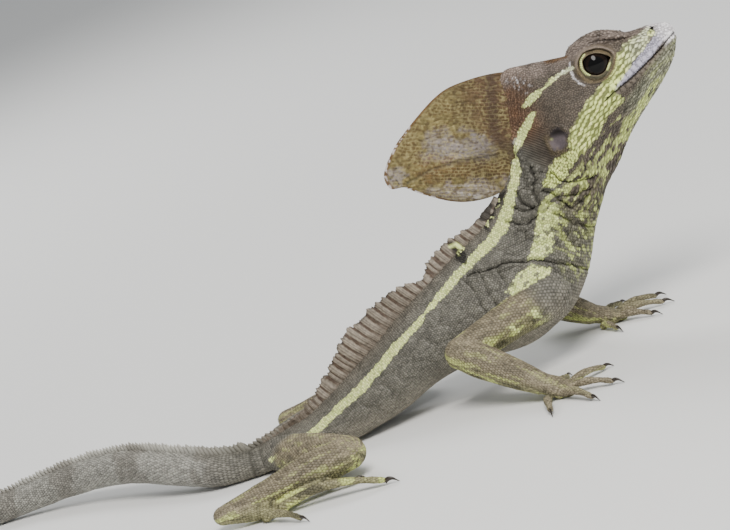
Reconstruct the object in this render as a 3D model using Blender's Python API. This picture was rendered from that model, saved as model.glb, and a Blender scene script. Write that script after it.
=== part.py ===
"""A common basilisk at life size, crouched with its head raised.

Lengths in the tables are millimetres and the scene is in metres. The animal faces +X, its right side is
-Y, and the floor that it rests on is z = 0. The finished animal is moved along the floor to stand centred
on the origin.
"""

import math

import bmesh
import bpy
import numpy as np
from mathutils import Matrix, Vector
from mathutils.bvhtree import BVHTree

MM = 0.001
GAP = 0.3

# The body's loft: steps between sections, sides, and the sections that part torso, neck and head.
BODY_STEPS = 3
BODY_SIDES = 28
NECK_FROM = 8
HEAD_FROM = 10

# Cross sections are closed curves through half widths at five levels, from underside to top.
LEVELS = (0.13, 0.30, 0.48, 0.66, 0.84)
TRUNK_SECTION = (0.74, 0.97, 1.0, 0.86, 0.56)

# Trunk from vent to throat: top x, top z, bottom x, bottom z, greatest half width.
TRUNK = {
    "vent": (-42.0, 6.4, -42.0, -0.2, 4.8),
    "pelvis": (-31.0, 8.4, -29.0, -0.3, 7.4),
    "loin": (-22.0, 11.0, -17.0, -0.2, 8.7),
    "belly": (-10.0, 17.2, -4.0, 2.4, 9.4),
    "flank": (0.0, 22.9, 8.0, 6.2, 9.9),
    "ribs": (10.0, 28.2, 19.0, 7.0, 10.3),
    "breast": (19.0, 32.6, 31.0, 6.4, 10.6),
    "chest": (25.5, 35.6, 43.2, 11.0, 10.0),
    "shoulder": (30.0, 38.2, 50.6, 19.2, 8.6),
    "neck": (34.0, 41.4, 55.4, 28.0, 7.3),
    "throat": (37.6, 45.4, 60.2, 35.0, 7.4),
}

# Head from nape to snout: top x, top z, bottom x, bottom z, then its five half widths.
HEAD = {
    "nape": (40.6, 50.4, 62.4, 37.2, 4.4, 7.4, 8.4, 6.2, 3.3),
    "hind_casque": (42.4, 57.6, 64.4, 39.0, 4.4, 8.2, 9.3, 5.9, 2.7),
    "casque": (43.4, 65.8, 66.7, 41.2, 4.6, 8.9, 9.9, 5.7, 2.4),
    "casque_top": (46.8, 71.0, 69.2, 44.2, 4.8, 9.3, 10.1, 6.3, 2.6),
    "temple": (52.4, 70.6, 71.9, 46.9, 4.9, 9.2, 10.2, 7.6, 3.5),
    "cheek": (58.4, 69.6, 75.3, 49.7, 4.7, 8.6, 9.6, 8.7, 5.2),
    "brow_rear": (63.4, 68.9, 78.2, 52.0, 4.4, 7.8, 8.8, 8.8, 7.2),
    "brow": (68.2, 70.0, 80.6, 53.8, 4.0, 7.0, 7.9, 8.2, 7.8),
    "brow_front": (73.2, 70.2, 82.8, 55.7, 3.6, 6.3, 6.9, 7.0, 6.6),
    "muzzle": (78.2, 69.0, 85.0, 57.8, 3.2, 5.6, 6.0, 5.5, 4.8),
    "nostril": (83.0, 68.7, 87.0, 60.4, 2.6, 4.5, 4.9, 4.5, 3.8),
    "lip": (86.7, 68.2, 88.2, 62.9, 1.9, 3.2, 3.6, 3.4, 2.5),
    "tip": (88.3, 67.3, 88.6, 65.0, 0.9, 1.5, 1.8, 1.6, 1.0),
}

# Tail axis: x, y, z, half width, half depth.
TAIL = (
    (-42.0, 0.0, 3.1, 4.8, 3.3),
    (-51.0, 1.8, 4.2, 4.7, 3.9),
    (-61.0, 9.0, 6.6, 4.5, 4.3),
    (-73.0, 21.5, 8.2, 4.2, 4.3),
    (-88.0, 34.5, 6.8, 3.8, 4.0),
    (-107.0, 44.0, 4.2, 3.4, 3.6),
    (-130.0, 47.0, 3.0, 3.0, 3.2),
    (-154.0, 41.0, 2.6, 2.6, 2.8),
    (-176.0, 27.0, 2.2, 2.2, 2.4),
    (-197.0, 8.0, 1.8, 1.9, 2.0),
    (-220.0, -9.0, 1.5, 1.6, 1.7),
    (-247.0, -19.0, 1.25, 1.3, 1.4),
    (-276.0, -17.0, 1.0, 1.05, 1.1),
    (-303.0, -5.0, 0.72, 0.78, 0.8),
    (-326.0, 12.0, 0.42, 0.45, 0.45),
)
TAIL_PARTS = 8
TAIL_TEETH_END = 150.0
TAIL_TOOTH = 1.7

# Rim of the low crest along the back, from the rump to the nape, with a notch behind the shoulders.
SAIL_RIM = (
    (-40.0, 8.2),
    (-34.0, 8.9),
    (-27.5, 11.0),
    (-21.5, 14.4),
    (-16.0, 19.2),
    (-11.0, 24.2),
    (-5.0, 27.2),
    (2.0, 30.6),
    (7.5, 31.0),
    (11.2, 31.0),
    (13.4, 33.6),
    (19.0, 36.6),
    (27.0, 38.9),
    (33.0, 41.8),
    (36.0, 44.6),
)
SAIL_FEET = (-38.0, 35.4)
SAIL_RAYS = 34
SAIL_ROOT = 1.6
SAIL_SWEEP = 0.18
SAIL_SCALLOP = 0.35
# A ray's and the web's half thickness at mid height, and how that grows to the root and shrinks to the rim.
RAY_THICK = 0.85
WEB_THICK = 0.45
SAIL_TAPER = (1.3, 0.55)

# Head crest: its rim from the casque's top round to the nape, and the line in the head that it grows from.
CREST_RIM = (
    (47.5, 70.6),
    (43.9, 71.4),
    (39.4, 71.9),
    (33.9, 71.9),
    (30.0, 70.9),
    (25.6, 68.8),
    (20.0, 65.5),
    (16.0, 62.6),
    (12.0, 58.0),
    (12.2, 54.2),
    (15.4, 53.2),
    (18.6, 50.4),
    (24.4, 46.3),
    (29.5, 44.2),
    (35.0, 43.6),
    (39.5, 44.6),
)
CREST_ROOT = (
    (49.5, 67.0),
    (47.0, 63.0),
    (46.0, 58.0),
    (46.0, 53.0),
    (45.5, 48.5),
    (43.0, 45.5),
)
CREST_ROOT_THICK = 1.5
CREST_RIM_THICK = 0.42
# The crease across the crest, as heights at its front and back, and how deep it is pressed in.
CREST_CREASE = (54.5, 53.0)
CREST_WAVE = 0.9

# Eyes, lids, brows, nostrils, ears and mouth: places in the side view, and how far out they stand.
EYE = (67.6, 66.0)
EYE_Y = 5.8
EYE_RADIUS = 4.1
LID_OUT = 2.1
LID_RING = (4.3, 3.7)
LID_THICK = 0.95
BROW = ((62.6, 5.6, 66.9), (65.4, 6.2, 68.9), (68.8, 6.3, 69.8), (73.6, 5.6, 69.6), (79.6, 4.1, 68.0))
BROW_THICK = 0.95
NOSTRIL = (83.7, 67.9)
NOSTRIL_RADIUS = 0.55
EAR = (53.2, 52.6)
EAR_SIZE = (1.8, 2.9)
EAR_DEEP = 1.1
EAR_TILT = 0.5
MOUTH = ((67.3, 56.8), (70.8, 58.0), (74.5, 59.2), (80.0, 61.2), (84.3, 63.4), (87.2, 64.8))
MOUTH_GROOVE = 0.34
MOUTH_END = (1.2, 1.2, 0.3)

# Limb joints on the right side and on the left: x, y, z.
ARM = {
    "right": ((38.5, -7.5, 17.8), (13.6, -16.5, 14.2), (28.2, -29.5, 4.2)),
    "left": ((38.5, 7.5, 15.5), (33.5, 30.0, 11.5), (47.5, 14.5, 4.2)),
}
LEG = {
    "right": ((-35.0, -5.0, 4.2), (-19.0, -34.5, 6.4), (-51.0, -37.5, 3.9)),
    "left": ((-33.0, 4.5, 4.3), (-1.0, 19.0, 6.6), (-32.0, 25.0, 3.9)),
}
# Swell of each limb length: share of the way along, half width, half depth.
UPPER_ARM = ((0.0, 5.4, 6.0), (0.35, 4.6, 4.8), (0.75, 4.1, 4.2), (1.0, 3.7, 3.8))
FOREARM = ((0.0, 3.7, 3.7), (0.3, 4.1, 4.0), (0.7, 3.5, 3.4), (1.0, 2.9, 2.6))
THIGH = ((0.0, 4.8, 4.0), (0.4, 5.5, 4.4), (0.8, 4.5, 4.1), (1.0, 4.0, 3.9))
SHANK = ((0.0, 3.9, 3.9), (0.3, 4.4, 4.2), (0.75, 2.8, 2.8), (1.0, 2.4, 2.2))
# The rings that round off a length's ends, as shares of a quarter turn, and a wrist beside the forearm's end.
ROUND_END = (0.25, 0.6, 1.0)
WRIST = 0.96

# Hand and foot: heading of the palm in degrees from +X, and each digit's turn from it, length and half width.
HAND_TURN = {"right": -30.0, "left": -4.0}
FOOT_TURN = {"right": -10.0, "left": 6.0}
PALM = (5.8, 3.9, 1.8)
SOLE = (12.5, 3.2, 1.8)
PALM_SWELL = ((0.4, 0.88, 1.15), (0.75, 1.0, 1.0), (1.0, 0.82, 0.85))
FINGERS = {
    "right": ((92, 8.0, 0.78), (56, 12.5, 0.8), (-2, 14.2, 0.82), (-32, 14.0, 0.82), (-64, 10.5, 0.8)),
    "left": ((66, 8.0, 0.78), (33, 12.5, 0.8), (6, 14.2, 0.82), (-20, 14.0, 0.82), (-52, 10.5, 0.8)),
}
TOE_ROWS = ((48.0, 10.0, 0.85), (26.0, 15.0, 0.9), (9.0, 21.0, 0.95), (-7.0, 29.0, 0.95), (-42.0, 14.0, 0.85))
TOES = {"right": TOE_ROWS, "left": TOE_ROWS}
# Where digits root across and along the palm, and how they arch, thin, knuckle and end in a claw.
DIGIT_SPREAD = 0.86
DIGIT_BACK = (0.95, 0.35)
DIGIT_ARCH = 0.1
DIGIT_SWELL = (1.15, 0.36, 0.10)
CLAW = 2.3
CLAW_ROWS = ((0.5, 1.15, 0.46), (1.0, 0.3, 0.14))

COLOURS = {
    "skin": (0.19, 0.16, 0.115, 1.0),
    "crest": (0.24, 0.15, 0.065, 1.0),
    "eye": (0.012, 0.01, 0.009, 1.0),
}
ROUGHNESS = {"skin": 0.72, "crest": 0.68, "eye": 0.06}


def clear_scene():
    for item in list(bpy.data.objects):
        bpy.data.objects.remove(item, do_unlink=True)


def material(slot):
    """The slot's Principled material, made once."""
    found = bpy.data.materials.get(slot)
    if found:
        return found
    made = bpy.data.materials.new(slot)
    made.use_nodes = True
    shader = made.node_tree.nodes["Principled BSDF"]
    shader.inputs["Base Color"].default_value = COLOURS[slot]
    shader.inputs["Roughness"].default_value = ROUGHNESS[slot]
    return made


def spline(rows, steps):
    """Rows joined by a smooth curve through each of them, with this many steps in each span."""
    rows = np.array(rows, float)
    ends = np.vstack([2 * rows[0] - rows[1], rows, 2 * rows[-1] - rows[-2]])
    out = []
    for i in range(len(rows) - 1):
        a, b, c, d = ends[i : i + 4]
        for t in np.arange(steps) / steps:
            squared, cubed = 2 * a - 5 * b + 4 * c - d, 3 * b - a - 3 * c + d
            out.append(0.5 * (2 * b + (c - a) * t + squared * t**2 + cubed * t**3))
    out.append(rows[-1])
    return np.array(out)


def loft(rings):
    """A closed mesh through rings of equal count, as (points, faces), with a fan on each end."""
    count = len(rings[0])
    points = [p for ring in rings for p in ring]
    faces = []
    for i in range(len(rings) - 1):
        for j in range(count):
            k = (j + 1) % count
            faces.append((i * count + j, i * count + k, (i + 1) * count + k, (i + 1) * count + j))
    for first, ring in ((0, rings[0]), ((len(rings) - 1) * count, rings[-1])):
        centre = len(points)
        points.append(np.mean(ring, axis=0))
        faces += [(first + j, first + (j + 1) % count, centre) for j in range(count)]
    return np.array(points), faces


def new_object(name, points, faces, slot="skin", smooth=True):
    """A mesh object from points in millimetres, with its faces turned outwards."""
    mesh = bpy.data.meshes.new(name)
    mesh.from_pydata([tuple(p) for p in np.array(points) * MM], [], faces)
    body = bmesh.new()
    body.from_mesh(mesh)
    bmesh.ops.remove_doubles(body, verts=body.verts, dist=1e-7)
    bmesh.ops.recalc_face_normals(body, faces=body.faces)
    if body.calc_volume(signed=True) < 0:
        bmesh.ops.reverse_faces(body, faces=body.faces)
    body.to_mesh(mesh)
    body.free()
    made = bpy.data.objects.new(name, mesh)
    PARTS.objects.link(made)
    mesh.materials.append(material(slot))
    if smooth:
        mesh.shade_smooth()
    return made


def combine(target, others, operation):
    """Joins or cuts target with other closed objects, applies the result and removes them."""
    helpers = bpy.data.collections.new("helpers")
    bpy.context.scene.collection.children.link(helpers)
    for other in others:
        PARTS.objects.unlink(other)
        helpers.objects.link(other)
    boolean = target.modifiers.new("combine", "BOOLEAN")
    boolean.operation = operation
    boolean.operand_type = "COLLECTION"
    boolean.collection = helpers
    bpy.context.view_layer.update()
    graph = bpy.context.evaluated_depsgraph_get()
    mesh = bpy.data.meshes.new_from_object(target.evaluated_get(graph))
    target.modifiers.clear()
    target.data = mesh
    for other in others:
        bpy.data.objects.remove(other, do_unlink=True)
    bpy.data.collections.remove(helpers)
    keep_largest(target)
    return target


def keep_largest(target):
    """Leaves only the largest closed surface of a mesh."""
    body = bmesh.new()
    body.from_mesh(target.data)
    bmesh.ops.remove_doubles(body, verts=body.verts, dist=2e-6)
    islands = []
    left = set(body.faces)
    while left:
        stack = [left.pop()]
        island = list(stack)
        while stack:
            for edge in stack.pop().edges:
                for face in edge.link_faces:
                    if face in left:
                        left.remove(face)
                        stack.append(face)
                        island.append(face)
        islands.append(island)
    islands.sort(key=len)
    for island in islands[:-1]:
        bmesh.ops.delete(body, geom=island, context="FACES")
    bmesh.ops.delete(body, geom=[v for v in body.verts if not v.link_faces], context="VERTS")
    body.to_mesh(target.data)
    body.free()


def floor_cut(target):
    """Cuts off what is below the floor, which leaves a small flat to rest on."""
    body = bmesh.new()
    body.from_mesh(target.data)
    if min(v.co.z for v in body.verts) < 0:
        geometry = body.verts[:] + body.edges[:] + body.faces[:]
        bmesh.ops.bisect_plane(body, geom=geometry, dist=1e-6, plane_no=(0, 0, -1), clear_outer=True)
        rim = [e for e in body.edges if e.is_boundary]
        bmesh.ops.holes_fill(body, edges=rim, sides=0)
        bmesh.ops.triangulate(body, faces=[f for f in body.faces if len(f.verts) > 4])
        bmesh.ops.recalc_face_normals(body, faces=body.faces)
        body.to_mesh(target.data)
    body.free()


def oval(centre, side, up, sides, square=2.3):
    """One ring: a rounded oval, a little square."""
    ring = []
    for k in range(sides):
        a = 2 * math.pi * (k + 0.5) / sides - math.pi / 2
        x = math.copysign(abs(math.cos(a)) ** (2 / square), math.cos(a))
        y = math.copysign(abs(math.sin(a)) ** (2 / square), math.sin(a))
        ring.append(centre + side * x + up * y)
    return ring


def body_rings(steps, sides, grow=0.0):
    """Rings of the body from vent to snout, grown outwards by some millimetres."""
    rows = [row[:4] + tuple(row[4] * share for share in TRUNK_SECTION) for row in TRUNK.values()]
    rings = []
    for row in spline(rows + list(HEAD.values()), steps):
        top, bottom = np.array([row[0], 0, row[1]]), np.array([row[2], 0, row[3]])
        rise = top - bottom
        grown = rise / np.linalg.norm(rise) * grow
        right = [(0.0, 0.0)] + [(w + grow, f) for w, f in zip(row[4:], LEVELS)] + [(0.0, 1.0)]
        outline = right + [(-w, f) for w, f in right[-2:0:-1]]
        dense = spline(outline[-2:] + outline + outline[:3], 8)[16:-16]
        reach = np.linalg.norm(rise)
        length = np.concatenate([[0], np.cumsum(np.linalg.norm(np.diff(dense * [1, reach], axis=0), axis=1))])
        at = (np.arange(sides) + 0.5) / sides * length[-1]
        across, share = (np.interp(at, length, dense[:, i]) for i in (0, 1))
        middles = [bottom + rise * f + grown * (2 * f - 1) for f in share]
        rings.append([middle + np.array([0, y, 0]) for middle, y in zip(middles, across)])
    return rings


def tail_frames(steps):
    """Centre, unit side, unit up, half width and half depth along the tail."""
    rows = spline(TAIL, steps)
    ahead = np.gradient(rows[:, :3], axis=0)
    ahead[0] = (-1.0, 0.0, 0.0)
    ahead /= np.linalg.norm(ahead, axis=1)[:, None]
    side = np.cross(ahead, [0, 0, 1.0])
    side /= np.linalg.norm(side, axis=1)[:, None]
    up = np.cross(side, ahead)
    return rows[:, :3], side, up, rows[:, 3], rows[:, 4]


def segment(start, end, swell, sides=12, steps=2, grow=0.0):
    """One length of a limb, round at both ends, as (points, faces)."""
    start, end = np.array(start, float), np.array(end, float)
    ahead = (end - start) / np.linalg.norm(end - start)
    side = np.cross(ahead, [0, 0, 1.0])
    side /= np.linalg.norm(side)
    up = np.cross(side, ahead)
    rows = spline(swell, steps)
    rings = []
    rows[:, 1:] += grow
    for angle in ROUND_END:
        swell, back = math.sin(angle * math.pi / 2), math.cos(angle * math.pi / 2)
        half, deep = rows[0][1:] * swell
        rings.append(oval(start - ahead * rows[0][1] * back, side * half, up * deep, sides, 2.0))
    for share, half, deep in rows[1:-1]:
        rings.append(oval(start + (end - start) * share, side * half, up * deep, sides, 2.0))
    for angle in reversed(ROUND_END):
        swell, on = math.sin(angle * math.pi / 2), math.cos(angle * math.pi / 2)
        half, deep = rows[-1][1:] * swell
        rings.append(oval(end + ahead * rows[-1][1] * on, side * half, up * deep, sides, 2.0))
    return loft(rings)


def digit(root, heading, length, half, sides=5):
    """A finger or toe with its claw: it arches up from the palm and comes down again to the claw's tip."""
    ahead = np.array([math.cos(heading), math.sin(heading), 0])
    side = np.array([-ahead[1], ahead[0], 0])
    up = np.array([0, 0, 1.0])
    base, thin, knuckle = DIGIT_SWELL
    rows = []
    for share in np.linspace(0, 1, 5):
        arch = half + DIGIT_ARCH * length * math.sin(math.pi * share)
        swell = base - thin * share + knuckle * math.cos(share * 4 * math.pi)
        rows.append((share * length, arch, half * swell))
    rows += [(length + CLAW * share, half * rise, half * thick) for share, rise, thick in CLAW_ROWS]
    foot = np.array(root) * [1, 1, 0]
    return loft([oval(foot + ahead * a + up * z, side * r, up * r, sides, 2.0) for a, z, r in rows])


def paw(name, wrist, turn, palm, digits, ankle_swell, mirror):
    """A hand or foot: a flat palm from the wrist forwards, with its digits fused in."""
    length, half, deep = palm
    heading = math.radians(turn)
    ahead = np.array([math.cos(heading), math.sin(heading), 0])
    wrist = np.array(wrist, float)
    end = wrist * [1, 1, 0] + ahead * length + np.array([0, 0, deep * 0.8])
    swell = [(0.0, *ankle_swell)] + [(share, half * wide, deep * thick) for share, wide, thick in PALM_SWELL]
    made = new_object(name, *segment(wrist, end, swell))
    side = np.array([-ahead[1], ahead[0], 0]) * mirror
    fused = []
    for number, (fan, reach, thick) in enumerate(digits):
        across = half * DIGIT_SPREAD * (1 - 2 * number / (len(digits) - 1))
        back = DIGIT_BACK[0] if number in (0, len(digits) - 1) else DIGIT_BACK[1]
        root = end - ahead * (half * back) + side * across
        angle = heading + math.radians(fan) * mirror
        fused.append(new_object(f"{name}_digit_{number}", *digit(root, angle, reach, thick)))
    return combine(made, fused, "UNION")


def make_body():
    """Torso, neck and head in one loft, parted by thin gaps across it."""
    rings = body_rings(BODY_STEPS, BODY_SIDES)
    cuts = [0, NECK_FROM * BODY_STEPS, HEAD_FROM * BODY_STEPS, len(rings) - 1]
    made = []
    for name, first, last in zip(("torso", "neck", "head"), cuts, cuts[1:]):
        piece = rings[first : last + 1]
        if first:
            ahead = np.mean(piece[1], axis=0) - np.mean(piece[0], axis=0)
            piece = [[p + ahead / np.linalg.norm(ahead) * GAP for p in piece[0]], *piece[1:]]
        made.append(new_object(name, *loft(piece)))
    return made


def body_cutter():
    """The whole body grown by the gap, to cut clear what grows from it."""
    return new_object("body_cutter", *loft(body_rings(BODY_STEPS - 1, BODY_SIDES, GAP)))


def surface_point(tree, x, z, sign):
    """The point of a body's side over this place in the animal's side view."""
    hit = tree.ray_cast(Vector((x * MM, sign * 0.05, z * MM)), Vector((0, -sign, 0)))[0]
    return np.array(hit) / MM


def tube(name, path, radius, sides=6):
    """A thin round bar along a path, used as a cutter for a groove."""
    path = np.array(path, float)
    ahead = np.gradient(path, axis=0)
    rings = []
    for p, t in zip(path, ahead):
        t = t / np.linalg.norm(t)
        side = np.cross(t, [0.1, 0.2, 1.0])
        side /= np.linalg.norm(side)
        rings.append(oval(p, side * radius, np.cross(side, t) * radius, sides, 2.0))
    return new_object(name, *loft(rings))


def ball(name, centre, radii, slot="skin", rings=10, segments=18, spin=0.0):
    """An egg with its poles along Y, from three radii, turned about Y by spin."""
    body = bmesh.new()
    bmesh.ops.create_uvsphere(body, u_segments=segments, v_segments=rings, radius=1.0)
    points = []
    for v in body.verts:
        x, y, z = v.co.x * radii[0], v.co.z * radii[1], v.co.y * radii[2]
        points.append((x * math.cos(spin) + z * math.sin(spin), y, z * math.cos(spin) - x * math.sin(spin)))
    faces = [[v.index for v in f.verts] for f in body.faces]
    body.free()
    return new_object(name, np.array(points) + centre, faces, slot)


def ring_bar(name, centre, radii, thick, sides=20, around=6):
    """A bent bar round an eye: an oval ring in the plane of the animal's side."""
    points, faces = [], []
    for i in range(sides):
        a = 2 * math.pi * i / sides
        out = np.array([math.cos(a), 0, math.sin(a)])
        middle = centre + np.array([math.cos(a) * radii[0], 0, math.sin(a) * radii[1]])
        for j in range(around):
            b = 2 * math.pi * j / around
            points.append(middle + out * math.cos(b) * thick + np.array([0, math.sin(b) * thick, 0]))
    for i in range(sides):
        for j in range(around):
            k, m = (i + 1) % sides, (j + 1) % around
            faces.append((i * around + j, i * around + m, k * around + m, k * around + j))
    return new_object(name, points, faces)


def plate(name, middle, half, slot):
    """A thin blade: a grid of midline points with a half thickness at each, split alike on both faces."""
    rows, columns = half.shape
    points = [p + [0, sign * t, 0] for sign in (-1, 1) for p, t in zip(middle.reshape(-1, 3), half.ravel())]
    count = rows * columns
    faces = []
    for i in range(rows - 1):
        for j in range(columns - 1):
            a, d = i * columns + j, (i + 1) * columns + j
            for one in ((a, a + 1, d + 1), (a, d + 1, d)):
                faces += [one, tuple(p + count for p in reversed(one))]
    edge = list(range(columns)) + [i * columns + columns - 1 for i in range(1, rows)]
    edge += [(rows - 1) * columns + j for j in range(columns - 2, -1, -1)]
    edge += [i * columns for i in range(rows - 2, 0, -1)]
    for a, b in zip(edge, edge[1:] + edge[:1]):
        faces.append((a, a + count, b + count, b))
    return new_object(name, points, faces, slot)


def resample(rows, count):
    """A smooth curve through the rows, as this many points at even steps along its length."""
    curve = spline(rows, 8)
    length = np.concatenate([[0], np.cumsum(np.linalg.norm(np.diff(curve, axis=0), axis=1))])
    at = np.linspace(0, length[-1], count)
    return np.stack([np.interp(at, length, curve[:, i]) for i in range(curve.shape[1])], 1)


def dress_head(head):
    """Lids, brows, mouth line, nostrils and ear hollows on the head, and the two eyes in their sockets."""
    tree = BVHTree.FromObject(head, bpy.context.evaluated_depsgraph_get())
    raised, cut = [], []
    for sign, side in ((-1, "right"), (1, "left")):
        eye = np.array([EYE[0], sign * EYE_Y, EYE[1]])
        raised.append(ring_bar(f"lid_{side}", eye + [0, sign * LID_OUT, 0], LID_RING, LID_THICK))
        brow = [(x, sign * (y - BROW_THICK), z) for x, y, z in BROW]
        raised.append(tube(f"brow_{side}", spline(brow, 3), BROW_THICK, 8))
        cut.append(ball(f"socket_{side}", eye, [EYE_RADIUS + GAP] * 3, rings=12, segments=20))
        nostril, ear = surface_point(tree, *NOSTRIL, sign), surface_point(tree, *EAR, sign)
        cut.append(ball(f"nostril_{side}", nostril, [NOSTRIL_RADIUS] * 3, rings=6, segments=8))
        ear_size = (EAR_SIZE[0], EAR_DEEP, EAR_SIZE[1])
        cut.append(ball(f"ear_{side}", ear, ear_size, rings=8, segments=14, spin=EAR_TILT))
        mouth = [surface_point(tree, x, z, sign) for x, z in spline(MOUTH, 3)]
        mouth.append(mouth[-1] + np.array(MOUTH_END) * [1, -sign, 1])
        cut.append(tube(f"mouth_{side}", mouth, MOUTH_GROOVE))
        ball(f"eye_{side}", eye, [EYE_RADIUS] * 3, "eye", 12, 20)
    combine(head, raised, "UNION")
    combine(head, cut, "DIFFERENCE")


def make_head_crest(along=34, across=8):
    """The crest behind the casque: a blade on the midline, creased across and thin at its rim."""
    rim, root = resample(CREST_RIM, along), resample(CREST_ROOT, along)
    middle, half = np.zeros((across, along, 3)), np.zeros((across, along))
    for i, t in enumerate(np.linspace(0, 1, across)):
        flat = root * (1 - t) + rim * t
        crease = CREST_CREASE[0] * (1 - t) + CREST_CREASE[1] * t
        bend = CREST_WAVE * np.tanh((flat[:, 1] - crease) / 2.5) * t * (1.4 - t)
        middle[i] = np.stack([flat[:, 0], bend, flat[:, 1]], 1)
        half[i] = CREST_ROOT_THICK * (1 - t) + CREST_RIM_THICK * t
    return plate("head_crest", middle, half, "crest")


def back_line(x_values):
    """Points of the back's midline at these x, and the direction that stands up from each."""
    rows = spline(list(TRUNK.values()), 8)
    order = np.argsort(rows[:, 0])
    z = np.interp(x_values, rows[order, 0], rows[order, 1])
    slope = np.gradient(z, x_values)
    up = np.stack([-slope - SAIL_SWEEP, np.zeros_like(z), np.ones_like(z)], 1)
    up /= np.linalg.norm(up, axis=1)[:, None]
    return np.stack([x_values, np.zeros_like(z), z], 1), up


def make_back_crest(levels=2, per_ray=2):
    """The low crest along the back: rays as ridges, with a thin web and a scallop in the rim between them."""
    feet, up = back_line(np.linspace(*SAIL_FEET, SAIL_RAYS * per_ray + 1))
    rim = spline(SAIL_RIM, 6)
    reach = np.linspace(0.2, 12.0, 240)
    wave = (np.arange(len(feet)) % per_ray == 0).astype(float)
    middle, half = np.zeros((levels + 1, len(feet), 3)), np.zeros((levels + 1, len(feet)))
    for j, (foot, rise) in enumerate(zip(feet, up)):
        beyond = foot[2] + rise[2] * reach > np.interp(foot[0] + rise[0] * reach, rim[:, 0], rim[:, 1])
        height = reach[np.argmax(beyond)] - SAIL_SCALLOP * (1 - wave[j])
        for level, t in enumerate(np.linspace(0, 1, levels + 1)):
            middle[level, j] = foot + rise * (-SAIL_ROOT + (SAIL_ROOT + height) * t)
            taper = SAIL_TAPER[0] * (1 - t) + SAIL_TAPER[1] * t
            half[level, j] = (WEB_THICK + (RAY_THICK - WEB_THICK) * wave[j]) * taper
    return plate("back_crest", middle, half, "skin")


def make_tail(sides=10, steps=8):
    """The tail in a few lengths, with a row of small teeth along its top that dies away."""
    centre, side, up, half, deep = tail_frames(steps)
    travelled = np.concatenate([[0], np.cumsum(np.linalg.norm(np.diff(centre, axis=0), axis=1))])
    rings = []
    for i in range(len(centre)):
        ring = oval(centre[i], side[i] * half[i], up[i] * deep[i], sides, 2.1)
        tooth = TAIL_TOOTH * max(0.0, 1 - travelled[i] / TAIL_TEETH_END) * (i % 2)
        if tooth > 0:
            peak = np.argmax([np.dot(p - centre[i], up[i]) for p in ring])
            ring[peak] = centre[i] + up[i] * (deep[i] + tooth)
        rings.append(ring)
    cuts = [int(np.argmin(abs(travelled - travelled[-1] * k / TAIL_PARTS))) for k in range(TAIL_PARTS + 1)]
    for k, (first, last) in enumerate(zip(cuts, cuts[1:])):
        ends = (first, last)
        keep = [i for i in range(first, last + 1) if travelled[i] < TAIL_TEETH_END or i % 4 == 0 or i in ends]
        piece = [rings[i] for i in keep]
        ahead = np.mean(piece[1], axis=0) - np.mean(piece[0], axis=0)
        piece = [[p + ahead / np.linalg.norm(ahead) * GAP for p in piece[0]], *piece[1:]]
        new_object(f"tail_{k + 1}", *loft(piece))


def make_limbs():
    """Arms and legs, each length cut clear of the one that it grows from."""
    for joints_of, swells, names, turns, palm, digits in (
        (ARM, (UPPER_ARM, FOREARM), ("upper_arm", "forearm", "hand"), HAND_TURN, PALM, FINGERS),
        (LEG, (THIGH, SHANK), ("thigh", "shank", "foot"), FOOT_TURN, SOLE, TOES),
    ):
        for side, mirror in (("right", 1), ("left", -1)):
            root, middle, end = joints_of[side]
            upper = new_object(f"{names[0]}_{side}", *segment(root, middle, swells[0]))
            combine(upper, [body_cutter()], "DIFFERENCE")
            lower = new_object(f"{names[1]}_{side}", *segment(middle, end, swells[1]))
            clear = new_object("upper_cutter", *segment(root, middle, swells[0], grow=GAP))
            combine(lower, [clear], "DIFFERENCE")
            combine(lower, [body_cutter()], "DIFFERENCE")
            wrist = [v * WRIST for v in swells[1][-1][1:]]
            made = paw(f"{names[2]}_{side}", end, turns[side], palm, digits[side], wrist, mirror)
            clear = new_object("lower_cutter", *segment(middle, end, swells[1], grow=GAP))
            combine(made, [clear], "DIFFERENCE")


def make_animal():
    torso, neck, head = make_body()
    dress_head(head)
    combine(make_head_crest(), [body_cutter()], "DIFFERENCE")
    combine(make_back_crest(), [body_cutter()], "DIFFERENCE")
    make_tail()
    make_limbs()
    for made in PARTS.objects:
        floor_cut(made)
    points = np.array([v.co for made in PARTS.objects for v in made.data.vertices])
    centre = (points.min(0) + points.max(0)) / 2
    for made in PARTS.objects:
        made.data.transform(Matrix.Translation((-centre[0], -centre[1], 0)))


clear_scene()
PARTS = bpy.data.collections.new("basilisk")
bpy.context.scene.collection.children.link(PARTS)
make_animal()
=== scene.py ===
"""A common basilisk at life size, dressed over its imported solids.

The tables and the shapes worked out from them are in millimetres, with the head to +X, the animal's right
side to -Y and the floor at z = 0. Every mesh is moved into the frame in metres when it becomes an object.
"""

import itertools
import math

import bmesh
import bpy
import numpy as np
from bpy.props import FloatProperty, FloatVectorProperty, IntProperty, PointerProperty
from mathutils import Matrix, Vector
from mathutils.bvhtree import BVHTree


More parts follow.
